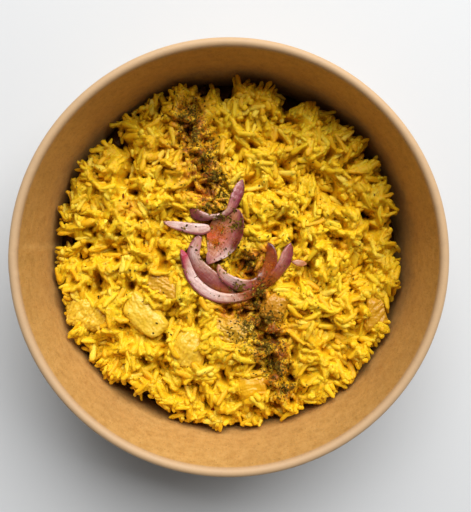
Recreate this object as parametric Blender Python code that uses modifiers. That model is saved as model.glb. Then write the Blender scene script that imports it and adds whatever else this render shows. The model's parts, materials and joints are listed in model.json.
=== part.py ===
"""A round kraft-paper takeaway bowl of yellow long-grain rice with chicken and red onion.

The bowl stands on Z = 0 with its axis on +Z and its lap seam towards -X. All lengths are in
metres: MM turns the millimetres that the sizes are given in into metres.
"""

import math
import random

import bmesh
import bpy
import numpy as np
from mathutils import Euler, Matrix, Vector, noise
from mathutils.geometry import delaunay_2d_cdt

MM = 0.001
GAP = 0.3 * MM                    # left between pieces that touch in the real bowl

# Paper bowl
RIM_RADIUS = 92 * MM              # outside of the rolled rim
RIM_TOP_Z = 67 * MM
ROLL_RADIUS = 2 * MM              # outside of the roll's round section
ROLL_TURN = math.radians(295)
ROLL_STEPS = 8
FOOT_RADIUS = 80 * MM
PAPER = 0.6 * MM
BASE_Z = 8 * MM                   # middle of the inset base disc
HEM_HEIGHT = 6.3 * MM             # wall paper folded up inside the foot
SKIRT_BOTTOM_Z = 1.4 * MM
BOWL_SEGMENTS = 48
SEAM_WIDTH = 9 * MM
SEAM_PROUD = 0.4 * MM

# Heap of rice
RICE_SEED = 11
RICE_EDGE_Z = 28 * MM             # top of the heap where it meets the wall
RICE_CROWN = 6 * MM               # extra height in the middle
RICE_EDGE_GAP = 1.9 * MM          # between the heap's top edge and the wall
RICE_EDGE_WAVER = 1.2 * MM
RICE_EDGE_WAVES = 6.0             # how many times its noise runs over in a turn's radius
RICE_EDGE_DROP = 3.5 * MM         # how far the heap rolls down towards the wall
RICE_EDGE_ROLL = 6 * MM           # over this width
RICE_OUTLINE_POINTS = 76
GRAIN_LENGTH = 9 * MM
GRAIN_WIDTH = 2.6 * MM
GRAIN_HEIGHT = 1.8 * MM           # of the bump that a grain makes in the surface
GRAIN_REACH = 0.86 * GRAIN_LENGTH  # to the middle of the next grain, end to end
GRAIN_PITCH = 1.5 * GRAIN_WIDTH   # to the middle of the next grain, side by side
RIDGE_HALF = 0.27 * GRAIN_LENGTH  # half the straight top of a grain's bump
HOLLOW_APART = 0.72 * GRAIN_WIDTH  # least distance between points of the surface
GRAIN_TURN = 0.4                  # how far a grain turns from its neighbours, in radians
GRAIN_DRAWS = 9000                # places tried for the bumps
DRIFT_LENGTH = 16 * MM            # over which the grains' direction changes
DRIFT_TURN = math.radians(288)
LOOSE_GRAINS = 34                 # whole grains that stand proud
LOOSE_DRAWS = 4000
LOOSE_THICK = 0.85 * GRAIN_WIDTH
LOOSE_UNEVEN = 0.15               # share by which their lengths differ
LOOSE_PITCH = 0.25                # how far they lean, in radians
LOOSE_LIFT = 1.35 * MM            # of a loose grain's middle above the heap
LOOSE_APART = 10 * MM
LOOSE_CLEAR = 5.6 * MM            # from a topping to a loose grain's middle

# Swells of the heap's surface in millimetres: length, height, and the layer of noise they take
SWELLS = (
    (15, 1.5, 0),
    (7, 0.7, 40),
)

# Lumps and hollows of the heap in millimetres: x, y, radius, height
RELIEF = (
    (56, 50, 17, 5.0),
    (66, 30, 12, 3.0),
    (36, 62, 12, 2.5),
    (12, 70, 11, 3.5),
    (46, 33, 9, -4.2),
    (38, 40, 6, -2.4),
    (-30, 46, 13, 2.5),
    (-55, 30, 12, 2.0),
    (-48, 52, 6, -3.0),
    (-27, -33, 6, -5.0),
    (-68, -1, 5, -3.5),
    (30, -52, 14, 2.5),
    (48, -28, 11, 2.0),
    (-40, -55, 14, 1.5),
    (8, -33, 9, -2.0),
    (0, -1, 15, -1.0),
)

# Places where the heap stands back from the wall: heading in degrees, half width, depth in mm
EDGE_NOTCHES = (
    (91, 4, 4.0),
    (68, 4, 4.5),
    (135, 5, 3.0),
    (10, 6, 3.0),
    (-16, 4, 3.5),
    (-38, 5, 3.0),
    (-62, 4, 2.5),
    (-128, 6, 3.5),
    (-150, 5, 3.0),
    (176, 4, 3.0),
)

# Chicken chunks in millimetres: x, y, (length, width, thickness), heading, how far sunk (0 to 1)
CHICKEN = (
    (-38.5, -27.1, (19.0, 12.5, 8.0), -42, 0.50),
    (-18.8, -43.2, (15.5, 14.0, 8.0), 70, 0.52),
    (0.6, -34.0, (16.5, 11.5, 7.5), -8, 0.50),
    (67.5, -26.5, (15.0, 10.0, 7.5), 98, 0.58),
    (21.0, -22.6, (11.0, 9.5, 8.0), 60, 0.42),
    (12.0, -61.0, (12.5, 10.5, 7.0), 5, 0.48),
    (-29.5, -14.0, (14.0, 8.5, 7.0), -28, 0.60),
    (-63.5, -27.6, (19.5, 12.0, 8.0), -14, 0.55),
)

CHUNK_TAPER = 0.35                # how much narrower one end of a chunk is than the other
CHUNK_UNEVEN = 0.34               # how far its corners stray, as a share of its size
CHUNK_KNOBS = 2.3                 # how many knobs it has along its length
CHUNK_SEED = 0.37                 # takes each chunk to its own stretch of the noise
CHUNK_CAGE = 1.14                 # its cage is larger, because subdivision draws it in
CHUNK_TILT = math.radians(-6)

# Onion strips, end to end, in millimetres and degrees: x, y, lift above the rice, width, thickness
# and how far the outer edge leans up
ONION = {
    "onion_ring_outer": (
        (-21.8, 2.4, 2.2, 2.4, 2.2, 10), (-19.7, -4.1, 2.1, 4.4, 3.2, 6), (-15.2, -12.9, 2.0, 5.2, 3.6, 4),
        (-5.4, -19.2, 1.9, 5.0, 3.6, 2), (6.0, -19.3, 1.7, 4.4, 3.2, -6), (14.6, -15.0, 1.6, 4.6, 3.0, -28),
        (23.0, -6.4, 2.2, 6.8, 3.0, -42), (26.0, 0.6, 2.8, 7.0, 2.9, -41), (27.8, 5.4, 3.0, 2.4, 2.0, -36),
    ),
    "onion_ring_middle": (
        (-14.6, 8.3, 1.2, 3.6, 2.2, 6), (-15.8, 0.8, 1.1, 6.2, 2.4, 0), (-11.7, -6.8, 0.5, 8.4, 2.4, -10),
        (-7.9, -10.0, 0.3, 8.4, 2.2, -12), (-3.8, -12.9, 0.1, 6.6, 2.0, -12),
        (1.0, -15.3, -0.2, 3.4, 1.6, -12),
    ),
    "onion_ring_inner": (
        (-4.1, -2.7, 2.4, 2.4, 2.0, -4), (-1.5, -9.4, 2.3, 4.6, 2.8, -16), (6.0, -13.4, 2.0, 5.2, 3.0, -18),
        (13.6, -10.2, 1.5, 4.8, 2.6, 10), (17.6, -3.2, 1.7, 6.2, 2.4, 28), (17.2, 4.8, 2.1, 3.0, 2.0, 22),
    ),
    "onion_petal": (
        (3.0, 19.6, 2.2, 4.6, 1.8, 8), (0.7, 14.2, 2.5, 14.2, 1.9, 12), (-1.6, 9.6, 2.5, 15.8, 1.9, 14),
        (-4.6, 3.6, 2.6, 11.8, 1.9, 12), (-9.4, -2.8, 2.5, 3.0, 1.6, 2),
    ),
    "onion_hook": (
        (6.0, 34.2, 3.5, 2.2, 1.8, -10), (4.1, 27.7, 3.4, 6.0, 2.8, -18), (0.7, 21.2, 3.4, 4.8, 2.6, -24),
        (-5.4, 17.4, 3.2, 3.8, 2.6, -34), (-11.8, 17.6, 2.7, 6.4, 2.6, -40),
        (-17.0, 20.2, 2.0, 3.2, 2.0, -36),
    ),
    "onion_strip_left": (
        (-28.8, 14.5, 2.4, 1.8, 1.6, 4), (-22.5, 12.8, 2.6, 4.2, 2.8, 4), (-14.4, 11.4, 2.4, 5.0, 3.0, 0),
        (-9.2, 11.8, 1.7, 3.4, 2.4, 0),
    ),
    "onion_stub": (
        (29.8, -3.6, 1.5, 1.8, 1.6, -6), (32.4, -3.8, 1.4, 2.8, 1.9, -6), (35.2, -3.6, 1.1, 1.5, 1.4, -6),
    ),
}
# Which strip lies on which: the one above has its bed cut into the one below
ONION_LAID = (
    ("onion_hook", "onion_petal"),
    ("onion_hook", "onion_strip_left"),
    ("onion_petal", "onion_strip_left"),
    ("onion_petal", "onion_ring_middle"),
    ("onion_petal", "onion_ring_inner"),
    ("onion_strip_left", "onion_ring_middle"),
    ("onion_ring_outer", "onion_ring_middle"),
    ("onion_ring_inner", "onion_ring_middle"),
    ("onion_ring_inner", "onion_ring_outer"),
)
# Corners of a strip's section as shares of width and thickness, hollow on the inner side, and of
# the section that cuts its bed, which is not
ONION_SECTION = ((-0.34, 0.0), (-0.42, -0.5), (0.42, -0.42), (0.5, 0.0), (0.42, 0.42), (-0.42, 0.5))
BED_SECTION = ((-0.5, 0.0), *ONION_SECTION[1:])
ONION_STEP = 4.5 * MM             # length of a strip between two of its sections
CLEARANCE = 1.4 * GAP             # by which what cuts a topping's bed stands off the topping


def clear_scene():
    for item in list(bpy.data.objects):
        bpy.data.objects.remove(item, do_unlink=True)


def new_collection(name):
    collection = bpy.data.collections.new(name)
    bpy.context.scene.collection.children.link(collection)
    return collection


def new_material(name, colour, roughness):
    material = bpy.data.materials.new(name)
    material.use_nodes = True
    shader = material.node_tree.nodes["Principled BSDF"]
    shader.inputs["Base Color"].default_value = (*colour, 1.0)
    shader.inputs["Roughness"].default_value = roughness
    shader.inputs["Metallic"].default_value = 0.0
    return material


def new_object(name, mesh, collection, material=None):
    item = bpy.data.objects.new(name, mesh)
    collection.objects.link(item)
    if material:
        mesh.materials.append(material)
    return item


def mesh_of(bm, name):
    mesh = bpy.data.meshes.new(name)
    bm.to_mesh(mesh)
    bm.free()
    return mesh


def turned_sheet(name, line, collection, material):
    """Paper bent along a line of (radius, height) points, turned round Z and given its thickness."""
    mesh = bpy.data.meshes.new(name)
    edges = [(i, i + 1) for i in range(len(line) - 1)]
    mesh.from_pydata([(radius, 0.0, z) for radius, z in line], edges, [])
    item = new_object(name, mesh, collection, material)
    screw = item.modifiers.new("turn", "SCREW")
    screw.steps = BOWL_SEGMENTS
    screw.render_steps = BOWL_SEGMENTS
    screw.use_merge_vertices = True
    screw.merge_threshold = 0.01 * MM
    solidify = item.modifiers.new("paper", "SOLIDIFY")
    solidify.thickness = PAPER
    solidify.offset = 0.0
    solidify.use_even_offset = True
    solidify.use_quality_normals = True
    return item


def baked(item):
    """Puts the mesh as its modifiers leave it in place of the object's own mesh."""
    graph = bpy.context.evaluated_depsgraph_get()
    mesh = bpy.data.meshes.new_from_object(item.evaluated_get(graph))
    item.modifiers.clear()
    item.data = mesh
    return item


def boolean(item, operation, collection):
    """Joins or cuts an object with all that a helper collection holds, then empties the collection."""
    modifier = item.modifiers.new(operation.lower(), "BOOLEAN")
    modifier.operation = operation
    modifier.solver = "EXACT"
    modifier.operand_type = "COLLECTION"
    modifier.collection = collection
    baked(item)
    for helper in list(collection.objects):
        bpy.data.objects.remove(helper)


def smooth(item, angle=35):
    item.data.shade_smooth()
    item.data.set_sharp_from_angle(angle=math.radians(angle))


# ---------------------------------------------------------------- paper bowl

ROLL_MID = ROLL_RADIUS - PAPER / 2
ROLL_CENTRE = (RIM_RADIUS - ROLL_RADIUS, RIM_TOP_Z - ROLL_RADIUS)
WALL_LEAN = math.atan2(ROLL_CENTRE[0] - ROLL_MID - FOOT_RADIUS + PAPER / 2, ROLL_CENTRE[1])


def wall_radius(z):
    """Radius of the middle of the wall's paper at a height."""
    return FOOT_RADIUS - PAPER / 2 + z * math.tan(WALL_LEAN)


def wall_line():
    """From the hem inside the foot, round the foot, up the wall and round the rolled rim."""
    hem_inset = 2 * (PAPER + GAP)
    hem = [(wall_radius(HEM_HEIGHT) - hem_inset, HEM_HEIGHT), (wall_radius(0) - hem_inset, PAPER / 2)]
    foot = [(wall_radius(0), PAPER / 2)]
    roll = []
    start = math.pi - WALL_LEAN
    for step in range(ROLL_STEPS + 1):
        angle = start - ROLL_TURN * step / ROLL_STEPS
        roll.append(
            (ROLL_CENTRE[0] + ROLL_MID * math.cos(angle), ROLL_CENTRE[1] + ROLL_MID * math.sin(angle))
        )
    return hem + foot + roll


def lap_seam(collection):
    """The strip by which the wall's paper laps over itself: sunk in the wall and proud of its outside."""
    inner, outer = -PAPER / 12, PAPER / 2 + SEAM_PROUD
    low_z, high_z = PAPER, ROLL_CENTRE[1] - 1.6 * ROLL_RADIUS
    bm = bmesh.new()
    half = SEAM_WIDTH / 2 / FOOT_RADIUS
    rows = []
    for angle in (math.pi - half, math.pi, math.pi + half):
        corners = []
        for z, out in ((low_z, outer), (high_z, outer), (high_z, inner), (low_z, inner)):
            radius = wall_radius(z) + out
            corners.append(bm.verts.new((radius * math.cos(angle), radius * math.sin(angle), z)))
        rows.append(corners)
    for first, second in zip(rows, rows[1:]):
        for i in range(4):
            bm.faces.new((first[i], first[i - 1], second[i - 1], second[i]))
    bm.faces.new(rows[0])
    bm.faces.new(reversed(rows[-1]))
    bmesh.ops.recalc_face_normals(bm, faces=bm.faces[:])
    new_object("lap_seam", mesh_of(bm, "lap_seam"), collection)


def make_bowl(collection, helpers):
    paper = new_material("kraft_paper", (0.42, 0.22, 0.085), 0.75)
    wall = baked(turned_sheet("bowl_wall", wall_line(), collection, paper))
    lap_seam(helpers)
    boolean(wall, "UNION", helpers)
    smooth(wall)

    skirt_inset = PAPER + GAP
    base_line = [
        (0.0, BASE_Z),
        (wall_radius(BASE_Z) - skirt_inset, BASE_Z),
        (wall_radius(SKIRT_BOTTOM_Z) - skirt_inset, SKIRT_BOTTOM_Z),
    ]
    smooth(baked(turned_sheet("bowl_base", base_line, collection, paper)))


# ---------------------------------------------------------------- heap of rice


def wall_inside(z):
    return wall_radius(z) - PAPER / 2


def rice_edge(angle):
    """Radius of the heap's top edge at a heading: it wavers, and stands back at the notches."""
    around = Vector((math.cos(angle), math.sin(angle), 0.0))
    gap = RICE_EDGE_GAP + RICE_EDGE_WAVER * noise.noise(around * RICE_EDGE_WAVES)
    for heading, half_width, depth in EDGE_NOTCHES:
        turn = (math.degrees(angle) - heading + 180) % 360 - 180
        gap += depth * MM * math.exp(-((turn / half_width) ** 2))
    return wall_inside(RICE_EDGE_Z) - max(gap, RICE_EDGE_GAP / 2)


def rice_height(x, y):
    """Height of the heap without its grains."""
    radius = math.hypot(x, y)
    z = RICE_EDGE_Z + RICE_CROWN * (1 - (radius / FOOT_RADIUS) ** 2)
    for length, height, layer in SWELLS:
        z += height * MM * noise.noise(Vector((x, y, layer * MM)) / (length * MM))
    for lump_x, lump_y, lump_radius, height in RELIEF:
        reach = math.hypot(x - lump_x * MM, y - lump_y * MM) / (lump_radius * MM)
        z += height * MM * math.exp(-(reach**2))
    inside = rice_edge(math.atan2(y, x)) - radius
    if inside < RICE_EDGE_ROLL:
        z -= RICE_EDGE_DROP * (1 - inside / RICE_EDGE_ROLL) ** 2
    return z


def grain_heading(x, y, draw):
    """Neighbouring grains lie nearly parallel, and the direction drifts over the heap."""
    drift = noise.noise(Vector((x, y, 90 * MM)) / DRIFT_LENGTH)
    return DRIFT_TURN * drift + draw.uniform(-GRAIN_TURN, GRAIN_TURN)


def grain_places():
    """Grains as (x, y, cosine, sine), packed so that none crowds another along or across it."""
    draw = random.Random(RICE_SEED)
    places = []
    for _ in range(GRAIN_DRAWS):
        radius = FOOT_RADIUS * math.sqrt(draw.random())
        angle = draw.uniform(-math.pi, math.pi)
        x, y = radius * math.cos(angle), radius * math.sin(angle)
        heading = grain_heading(x, y, draw)
        if radius > rice_edge(angle) - GRAIN_WIDTH:
            continue
        if all(grain_share(place, x, y, GRAIN_REACH, GRAIN_PITCH) > 1 for place in places):
            places.append((x, y, math.cos(heading), math.sin(heading)))
    return places


def grain_share(place, x, y, length, width):
    """How far a point is from a grain's middle, as a share of the way to its outline, squared."""
    px, py, cosine, sine = place
    along = ((x - px) * cosine + (y - py) * sine) / length
    across = ((y - py) * cosine - (x - px) * sine) / width
    return along * along + across * across


def bumped_height(x, y, near):
    """Height of the heap with the grains that lie near the point standing in it."""
    bump = 0.0
    for place in near:
        share = grain_share(place, x, y, GRAIN_LENGTH / 2, GRAIN_WIDTH / 2)
        if share < 1:
            bump = max(bump, math.sqrt(1 - share))
    return rice_height(x, y) + GRAIN_HEIGHT * bump - GRAIN_HEIGHT / 4


def surface_points(places, outline):
    """Points for the heap's surface: two on each grain's ridge, and the hollows beside and before it."""
    points = []
    ridges = []
    for x, y, cosine, sine in places:
        points.append((x - RIDGE_HALF * cosine, y - RIDGE_HALF * sine))
        points.append((x + RIDGE_HALF * cosine, y + RIDGE_HALF * sine))
        ridges.append((len(points) - 2, len(points) - 1))
    for x, y, cosine, sine in places:
        for along, across in ((0, 0.7), (0, -0.7), (0.62, 0), (-0.62, 0)):
            px = x + along * GRAIN_LENGTH * cosine - across * GRAIN_WIDTH * sine
            py = y + along * GRAIN_LENGTH * sine + across * GRAIN_WIDTH * cosine
            clear = all(math.hypot(px - qx, py - qy) > HOLLOW_APART for qx, qy in points)
            if clear and math.hypot(px, py) < rice_edge(math.atan2(py, px)) - HOLLOW_APART:
                points.append((px, py))
    first = len(points)
    rim = [(first + i, first + (i + 1) % len(outline)) for i in range(len(outline))]
    return points + outline, ridges, rim


def make_core(collection, material):
    """The heap as one closed solid: a bumped top, a side that follows the wall and a flat bottom."""
    places = grain_places()
    outline = []
    for i in range(RICE_OUTLINE_POINTS):
        angle = 2 * math.pi * i / RICE_OUTLINE_POINTS
        outline.append((rice_edge(angle) * math.cos(angle), rice_edge(angle) * math.sin(angle)))
    points, ridges, rim = surface_points(places, outline)
    flat = [Vector(point) for point in points]
    inside_only = 1
    made, _, faces, *_ = delaunay_2d_cdt(flat, ridges + rim, [], inside_only, 1e-7)

    bm = bmesh.new()
    for x, y in made:
        near = [p for p in places if abs(p[0] - x) < GRAIN_LENGTH and abs(p[1] - y) < GRAIN_LENGTH]
        bm.verts.new((x, y, bumped_height(x, y, near)))
    bm.verts.ensure_lookup_table()
    for face in faces:
        bm.faces.new([bm.verts[i] for i in face])
    floor_z = BASE_Z + PAPER / 2 + GAP
    for z in ((floor_z + RICE_EDGE_Z) / 2, floor_z):
        border = [edge for edge in bm.edges if edge.is_boundary]
        grown = bmesh.ops.extrude_edge_only(bm, edges=border)["geom"]
        for vert in (part for part in grown if isinstance(part, bmesh.types.BMVert)):
            angle = math.atan2(vert.co.y, vert.co.x)
            radius = wall_inside(z) - GAP - (RICE_EDGE_GAP if z > floor_z else 0.5 * MM)
            vert.co = (radius * math.cos(angle), radius * math.sin(angle), z)
    border = [edge for edge in bm.edges if edge.is_boundary]
    bmesh.ops.edgeloop_fill(bm, edges=border)
    bmesh.ops.recalc_face_normals(bm, faces=bm.faces[:])
    return new_object("rice", mesh_of(bm, "rice"), collection, material)


def loose_grain(x, y, heading, pitch, length):
    """One whole grain, a spindle that stands proud of the heap."""
    bm = bmesh.new()
    bmesh.ops.create_uvsphere(bm, u_segments=5, v_segments=4, radius=0.5)
    stand_up = Matrix.Rotation(math.pi / 2, 4, "Y")
    size = Matrix.Diagonal((length, GRAIN_WIDTH, LOOSE_THICK, 1.0))
    turn = Euler((0.0, pitch, heading)).to_matrix().to_4x4()
    place = Matrix.Translation((x, y, rice_height(x, y) + LOOSE_LIFT))
    bmesh.ops.transform(bm, matrix=place @ turn @ size @ stand_up, verts=bm.verts[:])
    return mesh_of(bm, "grain")


def topping_spots():
    """Circles (x, y, radius) that hold the chicken and the onion, which loose grains keep clear of."""
    spots = []
    for x, y, size, _, _ in CHICKEN:
        spots.append((x * MM, y * MM, size[0] / 2 * MM))
    for route in ONION.values():
        for row in smooth_route(route):
            spots.append((row[0], row[1], row[3] / 2))
    return spots


def add_loose_grains(rice, helpers):
    draw = random.Random(RICE_SEED + 1)
    spots = topping_spots()
    placed = []
    for _ in range(LOOSE_DRAWS):
        if len(placed) == LOOSE_GRAINS:
            break
        angle = draw.uniform(-math.pi, math.pi)
        radius = FOOT_RADIUS * math.sqrt(draw.random())
        x, y = radius * math.cos(angle), radius * math.sin(angle)
        length = GRAIN_LENGTH * draw.uniform(1 - LOOSE_UNEVEN, 1 + LOOSE_UNEVEN)
        heading = draw.uniform(0, math.pi)
        pitch = draw.uniform(-LOOSE_PITCH, LOOSE_PITCH)
        if radius > rice_edge(angle) - length / 2:
            continue
        crowded = any(math.hypot(x - px, y - py) < LOOSE_APART for px, py in placed)
        covered = any(math.hypot(x - px, y - py) < size + LOOSE_CLEAR for px, py, size in spots)
        if crowded or covered:
            continue
        placed.append((x, y))
        mesh = loose_grain(x, y, heading, pitch, length)
        new_object(f"grain_{len(placed)}", mesh, helpers)
    boolean(rice, "UNION", helpers)


def keep_largest_body(item):
    """Drops the scraps that a cut leaves loose, also those that still touch the heap at a corner."""
    bm = bmesh.new()
    bm.from_mesh(item.data)
    unseen = set(bm.faces)
    bodies = []
    while unseen:
        queue = [unseen.pop()]
        body = list(queue)
        while queue:
            for edge in queue.pop().edges:
                for other in edge.link_faces if edge.is_manifold else ():
                    if other in unseen:
                        unseen.discard(other)
                        body.append(other)
                        queue.append(other)
        bodies.append(body)
    largest = max(bodies, key=len)
    scraps = [face for body in bodies if body is not largest for face in body]
    bmesh.ops.delete(bm, geom=scraps, context="FACES")
    bm.to_mesh(item.data)
    bm.free()


# ---------------------------------------------------------------- chicken and onion


def chicken_chunk(name, chunk, collection, material):
    """A torn chunk: a box cage, tapered and with uneven corners, rounded by subdivision."""
    x, y, size, heading, sunk = chunk
    length, width, thickness = (side * MM for side in size)
    bm = bmesh.new()
    bmesh.ops.create_cube(bm, size=1.0)
    bmesh.ops.subdivide_edges(bm, edges=bm.edges[:], cuts=1, use_grid_fill=True)
    for vert in bm.verts:
        vert.co.y *= 1 - CHUNK_TAPER * vert.co.x
        vert.co += CHUNK_UNEVEN * noise.noise_vector(CHUNK_KNOBS * vert.co + CHUNK_SEED * Vector((x, y, 0.0)))
    cage = [CHUNK_CAGE * side for side in (length, width, thickness)]
    bmesh.ops.scale(bm, vec=cage, verts=bm.verts[:])
    item = new_object(name, mesh_of(bm, name), collection, material)
    item.location = (x * MM, y * MM, rice_height(x * MM, y * MM) + thickness * (0.5 - sunk))
    item.rotation_euler = (0.0, CHUNK_TILT, math.radians(heading))
    rounded = item.modifiers.new("rounded", "SUBSURF")
    rounded.levels = 1
    rounded.render_levels = 1
    return item


def smooth_route(route):
    """Rows (x, y, z, width, thickness, lean) about ONION_STEP apart on a smooth curve, in metres."""
    stops = []
    for x, y, lift, width, thick, lean in route:
        z = rice_height(x * MM, y * MM) + lift * MM
        stops.append(np.array((x * MM, y * MM, z, width * MM, thick * MM, math.radians(lean))))
    ends = [2 * stops[0] - stops[1], *stops, 2 * stops[-1] - stops[-2]]
    rows = []
    for before, start, end, after in zip(ends, ends[1:], ends[2:], ends[3:]):
        steps = max(1, round(np.linalg.norm(end[:3] - start[:3]) / ONION_STEP))
        for step in range(steps):
            t = step / steps
            rows.append(
                0.5 * (2 * start + (end - before) * t
                       + (2 * before - 5 * start + 4 * end - after) * t**2
                       + (3 * start - before - 3 * end + after) * t**3)
            )
    return rows + [stops[-1]]


def onion_strip(name, collection, material=None, grow=0.0):
    """A strip of onion along its route, bulged on its outer, skin side and hollow on the inner one."""
    rows = smooth_route(ONION[name])
    centre = np.array([row[:3] for row in rows])
    along = np.gradient(centre, axis=0)
    centre[0] -= grow * along[0] / np.linalg.norm(along[0])
    centre[-1] += grow * along[-1] / np.linalg.norm(along[-1])
    turn = np.sign(np.sum(np.cross(along[:-1], along[1:])[:, 2]))
    bm = bmesh.new()
    rings = []
    for middle, ahead, row in zip(centre, along, rows):
        outward = np.cross(ahead, (0.0, 0.0, turn))
        outward /= np.linalg.norm(outward)
        up = np.cross(outward, ahead)
        up *= np.sign(up[2]) / np.linalg.norm(up)
        out = outward * math.cos(row[5]) + up * math.sin(row[5])
        rise = up * math.cos(row[5]) - outward * math.sin(row[5])
        ring = []
        for across, high in BED_SECTION if grow else ONION_SECTION:
            side = out * across * (row[3] + 2 * grow) + rise * high * (row[4] + 2 * grow)
            ring.append(bm.verts.new(middle + side))
        rings.append(ring)
    for here, there in zip(rings, rings[1:]):
        for side in range(len(here)):
            after = (side + 1) % len(here)
            bm.faces.new((here[side], here[after], there[after]))
            bm.faces.new((here[side], there[after], there[side]))
    bm.faces.new(rings[0])
    bm.faces.new(rings[-1])
    bmesh.ops.recalc_face_normals(bm, faces=bm.faces[:])
    if grow:
        name += "_clearance"
    return new_object(name, mesh_of(bm, name), collection, material)


def clearance_of(item, helpers):
    """A copy of a chunk grown by the gap, which cuts the chunk's bed out of the rice."""
    copy = item.copy()
    copy.name = item.name + "_clearance"
    copy.hide_render = True
    copy.display_type = "WIRE"
    helpers.objects.link(copy)
    grow = copy.modifiers.new("grow", "DISPLACE")
    grow.strength = CLEARANCE
    grow.mid_level = 0.0


def make_chicken(collection):
    flesh = new_material("chicken", (0.78, 0.52, 0.12), 0.5)
    chunks = []
    for number, chunk in enumerate(CHICKEN, 1):
        item = chicken_chunk(f"chicken_{number}", chunk, collection, flesh)
        item.data.shade_smooth()
        chunks.append(item)
    return chunks


def make_onion(collection, helpers):
    onion = new_material("red_onion", (0.55, 0.24, 0.28), 0.35)
    for name in ONION:
        strip = onion_strip(name, collection, onion)
        above = [upper for upper, lower in ONION_LAID if lower == name]
        for upper in above:
            onion_strip(upper, helpers, grow=CLEARANCE)
        if above:
            boolean(strip, "DIFFERENCE", helpers)
            keep_largest_body(strip)
        smooth(strip)


def main():
    clear_scene()
    noise.seed_set(RICE_SEED)
    bowl = new_collection("chicken_rice_bowl")
    helpers = new_collection("clearances")
    helpers.hide_render = True
    make_bowl(bowl, helpers)
    grain = new_material("yellow_rice", (0.83, 0.50, 0.03), 0.45)
    chunks = make_chicken(bowl)
    make_onion(bowl, helpers)
    rice = make_core(bowl, grain)
    for chunk in chunks:
        clearance_of(chunk, helpers)
    bpy.context.view_layer.update()
    boolean(rice, "DIFFERENCE", helpers)
    for name in ONION:
        onion_strip(name, helpers, grow=CLEARANCE)
        boolean(rice, "DIFFERENCE", helpers)
    add_loose_grains(rice, helpers)
    keep_largest_body(rice)
    smooth(rice, 25)


main()
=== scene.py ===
"""The looks of a kraft-paper bowl of yellow rice with chicken and red onion.

Lengths are in metres: MM turns the millimetres that sizes are given in into metres. The bowl
stands on Z = 0 with its axis on +Z. Grains of rice are dropped one by one on a grid over the bowl,
the sticky mass is made under them, and the onion, the chicken, the herbs and the spice powder lie
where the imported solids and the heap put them.
"""

import json
import math

import bmesh
import bpy
import numpy as np
from mathutils import Matrix, Vector, noise
from mathutils.bvhtree import BVHTree

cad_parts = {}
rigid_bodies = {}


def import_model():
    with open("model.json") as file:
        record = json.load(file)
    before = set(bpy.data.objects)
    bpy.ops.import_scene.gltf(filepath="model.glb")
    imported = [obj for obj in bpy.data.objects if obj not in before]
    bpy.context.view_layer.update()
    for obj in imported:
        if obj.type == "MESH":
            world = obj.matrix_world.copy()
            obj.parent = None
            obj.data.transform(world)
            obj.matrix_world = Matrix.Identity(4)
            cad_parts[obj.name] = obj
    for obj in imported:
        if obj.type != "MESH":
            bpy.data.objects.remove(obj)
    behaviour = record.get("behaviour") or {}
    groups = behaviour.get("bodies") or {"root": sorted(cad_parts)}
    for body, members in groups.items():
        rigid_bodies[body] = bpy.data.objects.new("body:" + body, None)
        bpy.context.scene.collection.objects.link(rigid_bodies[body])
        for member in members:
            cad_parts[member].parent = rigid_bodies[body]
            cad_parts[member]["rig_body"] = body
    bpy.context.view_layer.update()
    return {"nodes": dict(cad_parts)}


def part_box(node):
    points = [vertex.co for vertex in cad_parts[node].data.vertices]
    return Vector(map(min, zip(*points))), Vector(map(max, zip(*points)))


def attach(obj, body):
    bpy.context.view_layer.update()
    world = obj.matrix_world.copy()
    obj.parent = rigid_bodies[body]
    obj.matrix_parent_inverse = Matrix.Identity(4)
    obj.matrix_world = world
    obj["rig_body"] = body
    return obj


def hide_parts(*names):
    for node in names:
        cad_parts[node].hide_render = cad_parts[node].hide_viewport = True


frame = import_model()

MM = 0.001

# Paper bowl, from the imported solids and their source
RIM_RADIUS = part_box("bowl_wall")[1].x
RIM_TOP_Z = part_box("bowl_wall")[1].z
ROLL_RADIUS = 2 * MM
ROLL_TURN = math.radians(295)
FOOT_RADIUS = 80 * MM
PAPER = 0.6 * MM
BASE_Z = 8 * MM
HEM_HEIGHT = 6.3 * MM
SKIRT_BOTTOM_Z = 1.4 * MM
GAP = 0.3 * MM
FOLD_RADIUS = 0.6 * MM
BOWL_COLUMNS = 240
SEAM_HALF = math.radians(3.2)
SEAM_PROUD = 0.4 * MM
SEAM_INSIDE = 0.25 * MM
SEAM_STEP = math.radians(0.12)
BASE_BEND = 1.2 * MM              # radius of the fold between the base and its skirt

# Heap of rice
RICE_SEED = 11
RICE_EDGE_Z = 28 * MM
RICE_CROWN = 6 * MM
RICE_EDGE_GAP = 1.9 * MM
RICE_EDGE_WAVER = 1.2 * MM
RICE_EDGE_DROP = 3.5 * MM
RICE_EDGE_ROLL = 6 * MM
SWELLS = ((15, 1.5, 0), (7, 0.7, 40))   # of the whole heap: length, height and layer
# Lumps and dips of the heap in millimetres: x, y, radius, height
RELIEF = (
    (56, 50, 17, 5.0), (66, 30, 12, 3.0), (36, 62, 12, 2.5), (12, 70, 11, 3.5), (46, 33, 9, -4.2),
    (38, 40, 6, -2.4), (-30, 46, 13, 2.5), (-55, 30, 12, 2.0), (-48, 52, 6, -3.0),
    (-27, -33, 6, -5.0), (-68, -1, 5, -3.5), (30, -52, 14, 2.5), (48, -28, 11, 2.0),
    (-40, -55, 14, 1.5), (8, -33, 9, -2.0), (0, -1, 15, -1.0), (58, -52, 17, 2.6),
    (74, -22, 10, 1.6), (50, 49, 15, 2.4), (-44, 56, 16, -2.6), (22, -74, 12, 1.6),
    (-37, -29, 11, 1.7), (-20, -44, 11, 1.3), (-70, -29, 11, 1.3),
)
EDGE_HEAPED = (-45, 34)           # heading and half width of the side where the heap meets the wall
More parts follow.
